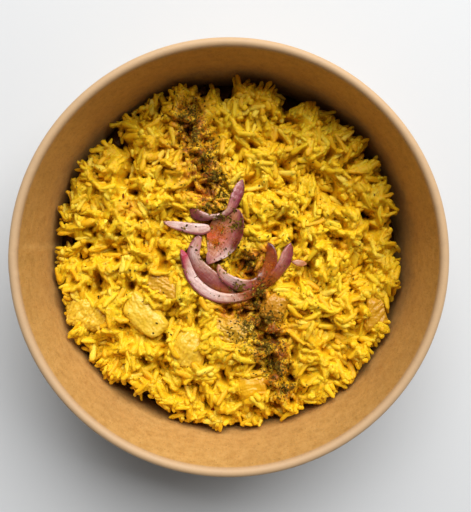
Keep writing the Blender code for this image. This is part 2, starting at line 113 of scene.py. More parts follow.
# Bays of the heap's border: heading and half width in degrees, depth in millimetres
EDGE_NOTCHES = (
    (91, 4, 4.0), (68, 4, 4.5), (135, 5, 1.5), (10, 6, 3.0), (-20, 3, 2.0), (-38, 3, 2.5),
    (-45, 32, -2.4), (-116, 6, 4.4), (-128, 5, 3.2), (-150, 9, -2.0), (176, 4, 3.0),
)
START_DEPTH = 4.8 * MM            # of the floor that the first grains fall on below the heap
CORE_DEPTH = (-0.6, 0.55)         # of the sticky mass where it is thick and thin, in millimetres
CORE_INSET = 2.4 * MM
CORE_FOOT_Z = 11 * MM             # where the mass reaches out to the wall below its frayed border
CORE_FOOT_GAP = 0.7 * MM
CORE_FLOOR_GAP = 1.6 * MM         # from the wall, where the mass lies on the base
CORE_SIDE_Z = (19 * MM, 14 * MM)  # heights of its side below its border and half way out
CORE_RINGS = 167
CORE_COLUMNS = 560
STICKY_REACH = 0.65 * MM          # over which the mass evens out the grains
PITS = 150
PIT_DEPTH = 4.5 * MM
PIT_SPREAD = 76 * MM
PIT_RADIUS = (0.8, 1.5)           # in millimetres
PIT_CLEAR = 2.5 * MM              # below the heap's face, where no grain reaches over a pit
HOLE_RISE = 1 * MM                # by which grains may stand above a hole or crease
CREASE_CUT = 1.5 * MM             # of the sticky mass under a crease
BREAK_LENGTH = 9 * MM             # from one gap in the creases to the next
CLUMPS = ((10, 8.0, 70), (4.5, 3.4, 30))   # swells of the clumps: length, height and layer
CROWN_Z = 34.5 * MM               # above which the clumps are pressed flat
CROWN_ROUND = 3 * MM
CREASE_LENGTH = 15 * MM           # from one crease between clumps to the next
CREASE_DEPTH = 4.2 * MM
CREASE_SHARP = 9
BANK_REACH = 3 * MM
BANK_HEIGHT = 1.6 * MM            # by which grains pile up against the chunks
# Holes and ledges in millimetres: x, y, half length, half width, heading in degrees, depth
HOLES = (
    (36, 39, 6, 3, -30, 3.5), (46, 33, 7, 4, -32, 3.5), (56, 27, 5, 3, -32, 3.0),
    (5, 43.6, 2.6, 2, 30, 4), (66.7, 12.4, 2.2, 1.6, 0, 4), (-47, 51, 2.4, 1.6, 0, 3.5),
    (-0.5, 73.5, 3.2, 2.4, 60, 4), (28, 69.5, 2.8, 2.4, -50, 4), (-68, -0.6, 6, 1.8, -5, 4),
    (75.5, -20.7, 2.4, 1.6, 70, 4), (-27, -29, 5.5, 3, -8, 4.5), (-30, -38, 2.6, 1.4, 80, 3),
    (33, -27, 7, 1.8, 25, 2.5), (-48, 4, 3, 1.6, 70, 2.5), (12, 60, 3, 1.6, 60, 3),
    (-36, 64, 3, 2, 20, 3), (-62, -33, 3, 1.8, 50, 3), (52, -6, 2.6, 1.4, -40, 2.5),
    (44, 8, 2.2, 1.2, 20, 2.5), (-12, -47, 3, 1.6, -30, 3), (-46, -22, 2.4, 1.4, 20, 2.5),
    (38, -52, 3, 1.6, 60, 3), (3, -66, 3, 1.6, 80, 3), (62, -8, 3, 1.8, 60, 3),
    (5, -25.5, 11, 2.8, 6, 3.5), (-6, 29, 6, 5, 0, 1.5), (8, -4, 6, 5, 0, 1.5),
)
CELL = 0.5 * MM                   # of the grid that the grains settle on
REACH = 86 * MM
SHADE_Z = 19.5 * MM               # below which the rice between the heap and the wall gets the darkest painted shadow
PAINTED_SHADE_DEPTH = 2.6 * MM             # under the heap's face, at which the painted shade between the grains is full
PAINTED_GAP_SHADE = 1.6                      # depth that stands for the painted shadow in the gap by the wall, in shares of that
GAP_FLOOR_Z = 14 * MM             # where the grid is cut off between the heap and the wall

GRAIN_LENGTH = 9.4 * MM
GRAIN_WIDTH = 2.35 * MM
GRAIN_THICK = 1.8 * MM
GRAIN_UNEVEN = 0.15               # share by which a grain swells and narrows along itself
GRAIN_ROUGH = 0.18                # share by which its single points stand off its smooth form
GRAIN_SINK = 1.0 * MM             # how far a grain presses into what it lies on
GRAIN_RISE = 3.2 * MM             # how far a grain may stand above the heap's own height
GRAIN_TRIES = 5                   # places drawn for each grain, of which the lowest is taken
UNDER_GRAINS = 2700
TOP_GRAINS = 2600
BROKEN_GRAINS = 600
FRAY_REACH = 7 * MM               # of the heap's border, where grains point outward
FRAY_SHARE = 0.75
FRAY_LENGTH = 6 * MM              # from one bay of the border to the next
FRAY_DEPTH = 4.4 * MM
FRAY_STEP = 2.4 * MM              # by which grains may reach over the border
LEAST_ROOM = 0.35 * MM            # under the heap's face, for one more grain
GRAIN_TURN = 0.45                 # spread of the grains' headings about the drift, in radians
GRAIN_NOD = 0.22                  # spread of their pitch and, near the border, of their headings
STEEPEST = 0.5                    # pitch of a grain that rests on a slope
BORDER_ROOM = 1.8 * MM            # from the border to the nearest grain's middle
EDGE_STEPS = 720                  # round the heap's border
WHOLE_TURN = 6.3                  # and a little more, in radians
SPREAD = 83 * MM                  # over which grains are dropped
SKY = Vector((0, 0, 0.2))         # above everything, where rays start down
DOWN = Vector((0, 0, -1))


def new_object(name, mesh, material, smooth=True):
    item = bpy.data.objects.new(name, mesh)
    bpy.context.scene.collection.objects.link(item)
    mesh.materials.append(material)
    if smooth:
        mesh.shade_smooth()
    return item


def mesh_from(name, points, faces):
    mesh = bpy.data.meshes.new(name)
    mesh.from_pydata(points, [], faces)
    mesh.validate()
    return mesh


def joined_mesh(name, parts, *values):
    """One mesh of small parts of (points, faces, then what each of the values is there)."""
    starts = np.cumsum([0] + [len(part[0]) for part in parts])
    points = np.concatenate([part[0] for part in parts])
    faces = np.concatenate([part[1] + start for part, start in zip(parts, starts)])
    mesh = bpy.data.meshes.new(name)
    mesh.from_pydata(points.tolist(), [], faces.tolist())
    for place, value in enumerate(values, 2):
        rows = [np.broadcast_to(part[place], len(part[0])) for part in parts]
        set_values(mesh, value, np.concatenate(rows))
    return mesh


def tidy_normals(item):
    bm = bmesh.new()
    bm.from_mesh(item.data)
    bmesh.ops.recalc_face_normals(bm, faces=bm.faces[:])
    bm.to_mesh(item.data)
    bm.free()


def around(radius, angle, z):
    return radius * math.cos(angle), radius * math.sin(angle), z


def band_faces(columns, count, closed=False, whole=True):
    """Faces between columns of count points. Closed columns are rings; a whole band meets its start."""
    faces = []
    for column in range(columns if whole else columns - 1):
        here, there = column * count, (column + 1) % columns * count
        for i in range(count if closed else count - 1):
            j = (i + 1) % count
            faces.append((here + i, there + i, there + j, here + j))
    return faces


def fan(tip, first, count, step=1, turned=False):
    """Triangles from a tip to a ring of points that starts at first."""
    faces = [(tip, first + i * step, first + (i + 1) % count * step) for i in range(count)]
    return [(a, c, b) for a, b, c in faces] if turned else faces


def by_heading(x, y, heading):
    """A place's distances along and across a heading."""
    cosine, sine = math.cos(heading), math.sin(heading)
    return x * cosine + y * sine, y * cosine - x * sine


def noise_at(x, y, layer, length):
    """Noise at a place, with swells of a length."""
    return noise.noise(Vector((x, y, layer)) / length)


def set_values(mesh, name, values):
    """Stores one number for each point of a mesh, for its material to read."""
    attribute = mesh.attributes.new(name, "FLOAT", "POINT")
    attribute.data.foreach_set("value", np.asarray(values, dtype=np.float32))


# ---------------------------------------------------------------- shader helpers


class Shade:
    """A Principled material and the nodes that feed it. A value is a socket, a number or a colour."""

    def __init__(self, name):
        self.material = bpy.data.materials.new(name)
        self.material.use_nodes = True
        self.nodes = self.material.node_tree.nodes
        self.shader = self.nodes["Principled BSDF"]

    def feed(self, socket, value):
        if isinstance(value, bpy.types.NodeSocket):
            self.material.node_tree.links.new(value, socket)
        elif isinstance(value, tuple) and len(socket.default_value) == 4:
            socket.default_value = (*value, 1.0)
        else:
            socket.default_value = value

    def add(self, kind, output=0, /, **inputs):
        """Adds a node, feeds its inputs, which are named with _ for spaces, and returns an output."""
        node = self.nodes.new("ShaderNode" + kind)
        for name, value in inputs.items():
            self.feed(node.inputs[name.replace("_", " ")], value)
        return node.outputs[output]

    def value(self, name, output="Fac"):
        """What set_values stored for each point."""
        attribute = self.nodes.new("ShaderNodeAttribute")
        attribute.attribute_name = name
        return attribute.outputs[output]

    def noise(self, scale, detail, rough, stretch=(1, 1, 1)):
        """A noise texture on the object's own coordinates, in metres."""
        place = self.add("Mapping", Vector=self.add("TexCoord", "Object"), Scale=stretch)
        return self.add("TexNoise", Vector=place, Scale=scale, Detail=detail, Roughness=rough)

    def ramp(self, value, *stops):
        output = self.add("ValToRGB", Fac=value)
        elements = output.node.color_ramp.elements
        while len(elements) < len(stops):
            elements.new(0.5)
        for element, (place, colour) in zip(elements, stops):
            element.position = place
            element.color = (*colour, 1.0)
        return output

    def mix(self, share, first, second):
        node = self.nodes.new("ShaderNodeMix")
        node.data_type = "RGBA"
        for place, value in ((0, share), (6, first), (7, second)):
            self.feed(node.inputs[place], value)
        return node.outputs[2]

    def math(self, operation, first, second=0.0):
        node = self.nodes.new("ShaderNodeMath")
        node.operation = operation
        for socket, value in zip(node.inputs, (first, second)):
            self.feed(socket, value)
        return node.outputs[0]

    def range(self, value, low, high, to_low, to_high):
        return self.add("MapRange", Value=value, From_Min=low, From_Max=high, To_Min=to_low,
                        To_Max=to_high)

    def tint(self, base, value, low, high, most, colour):
        """Mixes a colour in where a value runs from low to high, by at most a share of it."""
        return self.mix(self.range(value, low, high, 0.0, most), base, colour)

    def finish(self, colour, relief, depth, strength, **settings):
        """Sets what the whole surface shares, and bumps it by a relief of a depth in metres."""
        bump = self.add("Bump", Height=relief, Distance=depth, Strength=strength)
        for name, value in dict(settings, Base_Color=colour, Normal=bump).items():
            self.feed(self.shader.inputs[name.replace("_", " ")], value)
        return self.material


# ---------------------------------------------------------------- paper bowl

ROLL_MID = ROLL_RADIUS - PAPER / 2
ROLL_CENTRE = (RIM_RADIUS - ROLL_RADIUS, RIM_TOP_Z - ROLL_RADIUS)
WALL_LEAN = math.atan2(ROLL_CENTRE[0] - ROLL_MID - FOOT_RADIUS + PAPER / 2, ROLL_CENTRE[1])


def wall_radius(z):
    return FOOT_RADIUS - PAPER / 2 + z * math.tan(WALL_LEAN)


def wall_inside(z):
    return wall_radius(z) - PAPER / 2


def arc(centre, radius, start, turn, steps):
    points = []
    for step in range(steps + 1):
        angle = start + turn * step / steps
        points.append((centre[0] + radius * math.cos(angle), centre[1] + radius * math.sin(angle)))
    return points


def wall_line():
    """Middle of the wall's paper: up its hem, round the foot, up the wall and round the roll."""
    hem_inset = 2 * (PAPER + GAP)
    hem_r = wall_radius(0) - hem_inset
    low = PAPER / 2 + 0.02 * MM
    line = [(wall_radius(HEM_HEIGHT) - hem_inset, HEM_HEIGHT), (hem_r + 0.2 * MM, low + 2 * FOLD_RADIUS)]
    for middle, start in ((hem_r + FOLD_RADIUS, math.pi), (wall_radius(0) - FOLD_RADIUS, -math.pi / 2)):
        line += arc((middle, low + FOLD_RADIUS), FOLD_RADIUS, start, math.pi / 2, 4)
    for step in range(1, 12):
        z = 2 * FOLD_RADIUS + (ROLL_CENTRE[1] - 4 * FOLD_RADIUS) * step / 11
        line.append((wall_radius(z), z))
    line += arc(ROLL_CENTRE, ROLL_MID, math.pi - WALL_LEAN, -ROLL_TURN, 26)
    return line


def sheet_section(line, thickness):
    """(radius, height, outward share) points round both sides of a paper sheet's middle line."""
    places = np.array(line)
    along = np.gradient(places, axis=0)
    along /= np.linalg.norm(along, axis=1)[:, None]
    across = np.stack([along[:, 1], -along[:, 0]], axis=1)
    outside = [(*p, 1.0) for p in places + across * thickness / 2]
    inside = [(*p, -1.0) for p in places - across * thickness / 2]
    return outside + inside[::-1]


def seam_growth(turn):
    """How far the lapped paper stands out at an angle from the seam: (outside, inside)."""
    share = min(max((turn + SEAM_HALF) / (2 * SEAM_HALF), 0.0), 1.0)
    outside = SEAM_PROUD * min(1.0, 3 * share) if turn < SEAM_HALF else 0.0
    inside = SEAM_INSIDE * (1 - share) if turn > -SEAM_HALF else 0.0
    return outside, inside


def seam_columns():
    """Angles of the bowl's columns, with a close pair at each of the lap's two cut edges."""
    angles = [2 * math.pi * i / BOWL_COLUMNS - math.pi for i in range(BOWL_COLUMNS)]
    clear = [a for a in angles if abs(abs(a) - math.pi) > SEAM_HALF * 1.2]
    for edge in (-SEAM_HALF, SEAM_HALF):
        clear += [edge + math.pi - SEAM_STEP, edge + math.pi + SEAM_STEP]
    clear += [math.pi - SEAM_HALF / 2, math.pi, math.pi + SEAM_HALF / 2]
    return sorted(a % (2 * math.pi) for a in clear)


def wall_mesh():
    """The wall's paper, lapped at its seam."""
    section, angles = sheet_section(wall_line(), PAPER), seam_columns()
    points, lining = [], []
    for angle in angles:
        outside, inside = seam_growth(angle - math.pi)
        for radius, z, side in section:
            if z < RIM_TOP_Z - 2.6 * ROLL_RADIUS:
                lap = outside if side > 0 else -inside
            else:
                lap = 0.3 * (outside + inside)
            points.append(around(min(radius + lap, RIM_RADIUS), angle, z))
            lining.append(1.0 if side < 0 and z < RIM_TOP_Z - 1.2 * ROLL_RADIUS else 0.0)
    mesh = mesh_from("paper_bowl_wall", points, band_faces(len(angles), len(section), closed=True))
    set_values(mesh, "lining", lining)
    return mesh


def base_mesh():
    """The paper disc set in above the hem, with its turned-down skirt."""
    inset = PAPER + GAP
    top = wall_radius(BASE_Z) - inset
    line = [(0.0001 * MM, BASE_Z)] + [((top - BASE_BEND) * step / 12, BASE_Z) for step in range(1, 13)]
    line += arc((top - BASE_BEND, BASE_Z - BASE_BEND), BASE_BEND, math.pi / 2, -math.pi / 2, 5)[1:]
    line.append((wall_radius(SKIRT_BOTTOM_Z) - inset, SKIRT_BOTTOM_Z))
    ring = [(radius, z) for radius, z, _ in sheet_section(line, PAPER) if radius > 0.5 * MM]
    count = len(ring)
    points = [around(radius, 2 * math.pi * column / BOWL_COLUMNS, z)
              for column in range(BOWL_COLUMNS) for radius, z in ring]
    points += [(0, 0, ring[0][1]), (0, 0, ring[-1][1])]
    faces = band_faces(BOWL_COLUMNS, count) + fan(len(points) - 2, 0, BOWL_COLUMNS, count, True)
    faces += fan(len(points) - 1, count - 1, BOWL_COLUMNS, count)
    return mesh_from("paper_bowl_base", points, faces)


def paper_material():
    shade = Shade("kraft_paper_fibres")
    mottle = shade.noise(260, 4, 0.6)
    fibres = shade.noise(900, 5, 0.7, (1, 1, 0.35))
    flecks = shade.noise(1500, 2, 0.5, (1, 1, 0.5))
    clouds = shade.noise(28, 2, 0.5)
    base = shade.ramp(mottle,
        (0.28, (0.400, 0.205, 0.052)), (0.52, (0.520, 0.285, 0.078)),
        (0.75, (0.610, 0.350, 0.108)))
    fibred = shade.tint(base, fibres, 0.35, 0.72, 0.55, (0.66, 0.40, 0.14))
    flecked = shade.tint(fibred, flecks, 0.63, 0.74, 0.5, (0.22, 0.10, 0.035))
    toned = shade.tint(flecked, clouds, 0.35, 0.7, 0.16, (0.30, 0.15, 0.045))
    bare = shade.mix(0.75, toned, (0.47, 0.325, 0.20))
    sided = shade.mix(shade.value("lining"), bare, toned)
    rough = shade.range(mottle, 0.3, 0.7, 0.48, 0.62)
    height = shade.math("ADD", fibres, mottle)
    return shade.finish(sided, height, 0.10 * MM, 0.5, Specular_IOR_Level=0.35, Roughness=rough)


def make_bowl():
    paper = paper_material()
    wall = new_object("paper_bowl_wall", wall_mesh(), paper)
    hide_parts("bowl_wall")
    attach(wall, "root")
    base = new_object("paper_bowl_base", base_mesh(), paper)
    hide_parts("bowl_base")
    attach(base, "root")
    for item in (wall, base):
        item.data.set_sharp_from_angle(angle=math.radians(40))
        tidy_normals(item)


# ---------------------------------------------------------------- heap of rice: its surface


def rice_edge(angle):
    """Radius of the heap's top edge at a heading: it wavers, and stands back at the notches."""
    gap = RICE_EDGE_GAP + RICE_EDGE_WAVER * noise.noise(Vector(around(6, angle, 0)))
    for heading, half_width, depth in EDGE_NOTCHES:
        turn = (math.degrees(angle) - heading + 180) % 360 - 180
        gap += depth * MM * math.exp(-((turn / half_width) ** 2))
    return wall_inside(RICE_EDGE_Z) - max(gap, RICE_EDGE_GAP / 2)


def rice_height(x, y):
    """Height of the heap without its grains."""
    radius = math.hypot(x, y)
    z = RICE_EDGE_Z + RICE_CROWN * (1 - (radius / FOOT_RADIUS) ** 2)
    for length, height, layer in SWELLS:
        z += height * MM * noise_at(x, y, layer * MM, length * MM)
    for lump_x, lump_y, lump_radius, height in RELIEF:
        reach = math.hypot(x - lump_x * MM, y - lump_y * MM) / (lump_radius * MM)
        z += height * MM * math.exp(-(reach**2))
    angle = math.atan2(y, x)
    inside = rice_edge(angle) - radius
    if inside < RICE_EDGE_ROLL:
        turn = ((math.degrees(angle) - EDGE_HEAPED[0] + 180) % 360 - 180) / EDGE_HEAPED[1]
        drop = RICE_EDGE_DROP * (1 - math.exp(-(turn**4)))
        z -= drop * (1 - max(inside, 0.0) / RICE_EDGE_ROLL) ** 2
    return z


class Ground:
    """Grids over the bowl, one number for each CELL: the heap's top as it grows, and what shapes it."""

    def __init__(self):
        self.side = 2 * round(REACH / CELL) + 1
        self.line = (np.arange(self.side) - self.side // 2) * CELL
        self.x, self.y = np.meshgrid(self.line, self.line, indexing="ij")
        self.radius = np.hypot(self.x, self.y)
        self.heap = self.sampled(rice_height, 3)
        self.drift = math.radians(288) * self.noise(90 * MM, 11 * MM, 4)
        self.edges = []
        for i in range(EDGE_STEPS + 1):
            angle = 2 * math.pi * i / EDGE_STEPS
            place = Vector(around(1, angle, 0)) * FOOT_RADIUS / FRAY_LENGTH
            self.edges.append(rice_edge(angle) + FRAY_DEPTH * (noise.noise(place) - 0.2))
        self.edge = self.edge_at(np.arctan2(self.y, self.x))
        self.top = np.where(self.radius < self.edge - 2.5 * MM, self.heap - START_DEPTH, GAP_FLOOR_Z)
        self.ceiling = np.full(self.x.shape, np.inf)
        self.kept_out = np.zeros(self.x.shape, dtype=bool)
        self.banks = np.zeros(self.x.shape)
        self.cuts = np.zeros(self.x.shape)

    def edge_at(self, turn):
        """Radius of the heap's frayed border at headings."""
        return np.interp(turn % (2 * math.pi), np.linspace(0, 2 * math.pi, EDGE_STEPS + 1), self.edges)

    def noise(self, layer, length, step=2):
        return self.sampled(lambda x, y: noise_at(x, y, layer, length), step)

    def lower(self, where, level):
        """Lets no grain reach above a level at some cells."""
        self.ceiling = np.where(where, np.minimum(self.ceiling, level), self.ceiling)

    def cut(self, depths):
        self.cuts = np.maximum(self.cuts, depths)

    def sampled(self, function, step):
        """A function worked out at every step-th cell, with straight lines between."""
        places = self.line[::step]
        rough = np.array([[function(x, y) for y in places] for x in places])
        across = np.array([np.interp(self.line, places, row) for row in rough])
        return np.array([np.interp(self.line, places, across[:, j]) for j in range(self.side)]).T

    def smeared(self, grid, weights):
        for _ in range(2):
            grid = np.array([np.convolve(row, weights, mode="same") for row in grid]).T
        return grid

    def evened(self):
        """The heap's top with the grains melted together over a short reach."""
        reach = int(3 * STICKY_REACH / CELL)
        weights = np.exp(-((np.arange(-reach, reach + 1) * CELL / STICKY_REACH) ** 2))
        inside = (self.radius < self.edge - CORE_INSET).astype(float)
        return self.smeared(self.top * inside, weights) / np.maximum(self.smeared(inside, weights), 1e-9)

    def bank(self, covered):
        """Banks the rice up along the border of a piece that lies in it."""
        weights = np.hanning(2 * round(BANK_REACH / CELL) + 3)[1:-1]
        covered = self.smeared(covered, weights / weights.sum())
        self.banks = np.maximum(self.banks, 4 * covered * (1 - covered))

    def at(self, grid, x, y):
        """A grid's value at a place between its cells."""
        i, j = x / CELL + self.side // 2, y / CELL + self.side // 2
        i0, j0 = int(i), int(j)
        u, v = i - i0, j - j0
        low = grid[i0, j0] * (1 - u) + grid[i0 + 1, j0] * u
        high = grid[i0, j0 + 1] * (1 - u) + grid[i0 + 1, j0 + 1] * u
        return low * (1 - v) + high * v

    def cell(self, x, y):
        middle = self.side // 2
        return int(round(x / CELL)) + middle, int(round(y / CELL)) + middle

    def lay(self, item):
        """The cells that a piece covers, with the height of its top and its underside there."""
        tree = BVHTree.FromObject(item, bpy.context.evaluated_depsgraph_get())
        corners = np.array([item.matrix_world @ v.co for v in item.data.vertices])
        (low_x, low_y, _), (high_x, high_y, _) = corners.min(axis=0), corners.max(axis=0)
        first_i, first_j = self.cell(low_x, low_y)
        last_i, last_j = self.cell(high_x, high_y)
        for i in range(first_i, last_i + 1):
            for j in range(first_j, last_j + 1):
                x, y = self.line[i], self.line[j]
                hit, *_ = tree.ray_cast(Vector((x, y, 0)) + SKY, DOWN)
                if hit is not None:
                    below, *_ = tree.ray_cast(Vector((x, y, 0)), -DOWN)
                    yield i, j, hit.z, below.z


# ---------------------------------------------------------------- heap of rice: its grains


def grain_shape(rings, sides, bend, blunt):
    """A grain along X, 1 long, 1 wide and 1 thick, bent sideways, one end blunter than the other."""
    points = [(-0.5, bend * 0.25, 0.0)]
    for ring in range(rings):
        share = -math.cos(math.pi * (ring + 0.72) / (rings + 0.44))
        full = (1 - abs(share) ** 5) ** 0.5 * (1 - blunt * share)
        for side in range(sides):
            angle = 2 * math.pi * (side + 0.5 * (ring % 2)) / sides
            middle = bend * share * share / 4
            points.append((share / 2, middle + full * math.cos(angle) / 2, full * math.sin(angle) / 2))
    points.append((0.5, bend * 0.25, 0.0))
    faces = fan(0, 1, sides, turned=True) + fan(len(points) - 1, 1 + (rings - 1) * sides, sides)
    for ring in range(rings - 1):
        low, high = 1 + ring * sides, 1 + (ring + 1) * sides
        for side in range(sides):
            after = (side + 1) % sides
            if ring % 2:
                faces.append((low + side, low + after, high + after))
                faces.append((low + side, high + after, high + side))
            else:
                faces.append((low + side, low + after, high + side))
                faces.append((low + after, high + after, high + side))
    return np.array(points), np.array(faces)


def settle(ground, draw, count, goal, lengths):
    """Drops grains where the heap is lowest under its goal.

    Returns (x, y, z, heading, pitch, length) of each.
    """
    placed = []
    for _ in range(8 * count):
        if len(placed) == count:
            break
        radius = SPREAD * np.sqrt(draw.random(GRAIN_TRIES))
        angle = draw.uniform(-math.pi, math.pi, GRAIN_TRIES)
        spots = [ground.cell(r * math.cos(a), r * math.sin(a)) for r, a in zip(radius, angle)]
        short = np.array([goal[s] - ground.top[s] - (1.0 if ground.kept_out[s] else 0.0) for s in spots])
        outside = np.array([ground.radius[s] > ground.edge[s] - BORDER_ROOM for s in spots])
        short[outside] = -1
        best = int(np.argmax(short))
        if short[best] < LEAST_ROOM:
            continue
        i, j = spots[best]
        length = GRAIN_LENGTH * draw.uniform(*lengths)
        turn = GRAIN_TURN * draw.normal() if draw.random() < 0.8 else draw.uniform(-1.5, 1.5)
        heading = ground.drift[i, j] + turn
        if ground.radius[i, j] > ground.edge[i, j] - FRAY_REACH and draw.random() < FRAY_SHARE:
            bunch = 1.8 * noise_at(ground.line[i], ground.line[j], 50 * MM, 6 * MM)
            outward = math.atan2(ground.line[j], ground.line[i])
            heading = outward + bunch + GRAIN_NOD * draw.normal()
        rest = rest_grain(ground, goal, i, j, heading, length, GRAIN_NOD * draw.normal())
        if rest:
            placed.append((ground.line[i], ground.line[j], rest[0], heading, rest[1], length))
    return placed


def rest_grain(ground, goal, i, j, heading, length, nod):
    """Rests one grain on the grid and raises the grid by it; returns (height, pitch) or None."""
    half = int(length / 2 / CELL) + 1
    if not half <= min(i, j) <= max(i, j) < ground.side - half:
        return None
    patch = (slice(i - half, i + half + 1), slice(j - half, j + half + 1))
    x, y = ground.x[patch] - ground.line[i], ground.y[patch] - ground.line[j]
    along, across = by_heading(x, y, heading)
    share = (2 * along / length) ** 2 + (2 * across / GRAIN_WIDTH) ** 2
    inside = share < 1
    under = ground.top[patch][inside]
    ahead = along[inside]
    slope = (under[ahead > length / 6].mean() - under[ahead < -length / 6].mean()) / (0.6 * length)
    pitch = min(max(math.atan(slope), -STEEPEST), STEEPEST) + nod
    swell = GRAIN_THICK / 2 * np.sqrt(1 - share[inside])
    level = float(np.max(under - ahead * math.tan(pitch) + swell)) - GRAIN_SINK
    top = level + ahead * math.tan(pitch) + swell
    if np.any(top > np.minimum(ground.ceiling[patch], goal[patch] + GRAIN_RISE)[inside]):
        return None
    for end in (-0.5, 0.5):
        x, y, _ = around(end * length, heading, 0)
        reach = math.hypot(ground.line[i] + x, ground.line[j] + y)
        if reach > min(ground.edge[i, j] + FRAY_STEP, wall_inside(level) - 0.6 * MM):
            return None
    ground.top[patch][inside] = np.maximum(under, top)
    return level, pitch


def grain_mesh(name, grains, shapes, draw):
    """Joins grains into one mesh, each a turned and sized copy of one of the shapes."""
    parts = []
    for x, y, z, heading, pitch, length in grains:
        base, faces = shapes[draw.integers(len(shapes))]
        swell = 1 + GRAIN_UNEVEN * draw.normal() * np.sin(4 * base[:, 0] + draw.uniform(0, WHOLE_TURN))
        rough = 1 + GRAIN_ROUGH * draw.normal(size=len(base))
        base = base * np.column_stack([np.ones(len(base)), swell * rough, swell * rough])
        width, thick = GRAIN_WIDTH * draw.uniform(0.7, 1.2), GRAIN_THICK * draw.uniform(0.85, 1.1)
        roll = Matrix.Rotation(draw.uniform(-0.7, 0.7), 3, "X")
        turn = Matrix.Rotation(heading, 3, "Z") @ Matrix.Rotation(-pitch, 3, "Y") @ roll
        points = (base * (length, width, thick)) @ np.array(turn).T + (x, y, z)
        parts.append((points, faces, draw.random(), 2 * base[:, 0]))
    return joined_mesh(name, parts, "tone", "ends")


# Spice stains, and painted shade on the rice under the onion strips, in millimetres: x, y, radius,
# strength
OIL_STAINS_AND_SHADE = (
    (-10, 28, 9, 0.8), (-12, 38, 9, 0.7), (-16, 52, 10, 0.75), (-18, 65, 9, 0.7),
    (4, -23.5, 6, 1.0), (12, -20, 5, 1.1), (14, -26, 6, 0.9), (9, -4, 6, 1.0), (17, -2, 6, 1.1),
    (-5, 14, 7, 0.9), (18, -36, 8, 1.0), (21, -46, 8, 0.9), (20, -57, 8, 0.5), (-45, 22, 5, 0.5),
    (27, -64, 6, 0.5), (-36, 3, 4, 0.4), (38, -34, 6, 0.4), (-58, -10, 5, 0.3), (-34, 50, 8, 0.3),
    (-11, -7, 6, 1.1), (15, -9, 6, 1.1), (-1, -22, 6, 0.9), (4, 17, 5, 0.7),
)
# Herb flakes in millimetres: x, y, radius, number
HERB_PATCHES = (
    (-18, 65, 9, 170), (-15, 55, 9, 200), (-11, 45, 8, 150), (-7, 35, 7, 170), (-3, 28, 7, 110),
    (-9, 23, 5, 70), (8, -3, 5, 200), (3, 14, 4, 70), (14, -16, 4, 90), (12, -22, 5, 90),
    (8, -32, 9, 190), (17, -40, 9, 260), (21, -50, 9, 230), (26, -62, 7, 130), (0, 0, 72, 420),
    (18, -28, 8, 110), (-4, 18, 5, 60), (5, -14, 4, 60), (-20, 12.6, 2, 4),
)


def patch_share(x, y, patches):
    """How strongly patches of (x, y, radius, strength) reach points, from 0 up."""
    total = np.zeros_like(x)
    for px, py, radius, strength in patches:
        reach = np.hypot(x - px * MM, y - py * MM) / (radius * MM)
        total += strength * np.exp(-(reach**2))
    return total


def stain_and_shade_mesh(mesh):
    """Gives each point its share of spice oil stain and, under the onion strips, of painted shade."""
    co = np.zeros(len(mesh.vertices) * 3, dtype=np.float32)
    mesh.vertices.foreach_get("co", co)
    co = co.reshape(-1, 3)
    set_values(mesh, "stain_and_shade", np.clip(1.3 * patch_share(co[:, 0], co[:, 1], OIL_STAINS_AND_SHADE), 0, 1.2))
    herbs = [(x, y, 0.8 * radius, number / 170) for x, y, radius, number in HERB_PATCHES if radius < 20]
    set_values(mesh, "dust", np.clip(patch_share(co[:, 0], co[:, 1], herbs), 0, 1.1))


def rice_material():
    shade = Shade("yellow_rice_grain")
    tone = shade.value("tone")
    stain_and_shade = shade.value("stain_and_shade")
    ends = shade.math("ABSOLUTE", shade.value("ends"))
    base = shade.ramp(tone,
        (0.0, (0.76, 0.388, 0.003)), (0.25, (0.79, 0.452, 0.004)), (0.6, (0.81, 0.503, 0.006)),
        (0.85, (0.82, 0.55, 0.014)), (1.0, (0.85, 0.63, 0.070)))
    mottle = shade.noise(420, 3, 0.6)
    toned = shade.tint(base, mottle, 0.35, 0.75, 0.4, (0.84, 0.58, 0.035))
    patches = shade.noise(60, 3, 0.6)
    turmeric = shade.tint(toned, patches, 0.5, 0.75, 0.6, (0.74, 0.36, 0.005))
    tipped = shade.tint(turmeric, ends, 0.75, 1.0, 0.3, (0.78, 0.42, 0.02))
    broken = shade.noise(260, 4, 0.65)
    # Spice oil tints the rice orange and, where it is strongest, dark brown; under the onion strips that
    # dark brown is painted shade.
    soak = shade.math("MULTIPLY", stain_and_shade, shade.range(broken, 0.38, 0.62, 0.1, 1.0))
    spiced = shade.tint(tipped, soak, 0.05, 0.75, 0.85, (0.50, 0.14, 0.004))
    oil_and_shade_tinted = shade.tint(spiced, soak, 0.6, 1.1, 0.9, (0.19, 0.040, 0.002))
    dust = shade.value("dust")
    specks = shade.noise(1300, 3, 0.7)
    dusty = shade.math("MULTIPLY", dust, shade.range(specks, 0.50, 0.56, 0.0, 1.2))
    dusted = shade.tint(oil_and_shade_tinted, dusty, 0.05, 0.9, 0.85, (0.13, 0.055, 0.004))
    # Painted shade: rice deep under the heap's face turns brown, and rice in the gap by the wall turns
    # near black, as if in shadow.
    depth = shade.value("depth")
    deep = shade.tint(dusted, depth, 0.5, 1.0, 0.72, (0.34, 0.090, 0.001))
    soaked = shade.tint(deep, depth, 1.0, 1.6, 0.9, (0.05, 0.016, 0.001))
    fine = shade.noise(1100, 4, 0.65)
    return shade.finish(soaked, fine, 0.45 * MM, 0.8, Roughness=0.45, Specular_IOR_Level=0.25,
                        Subsurface_Weight=0.55, Subsurface_Radius=(1.0, 1.0, 0.6),
                        Subsurface_Scale=1.6 * MM)


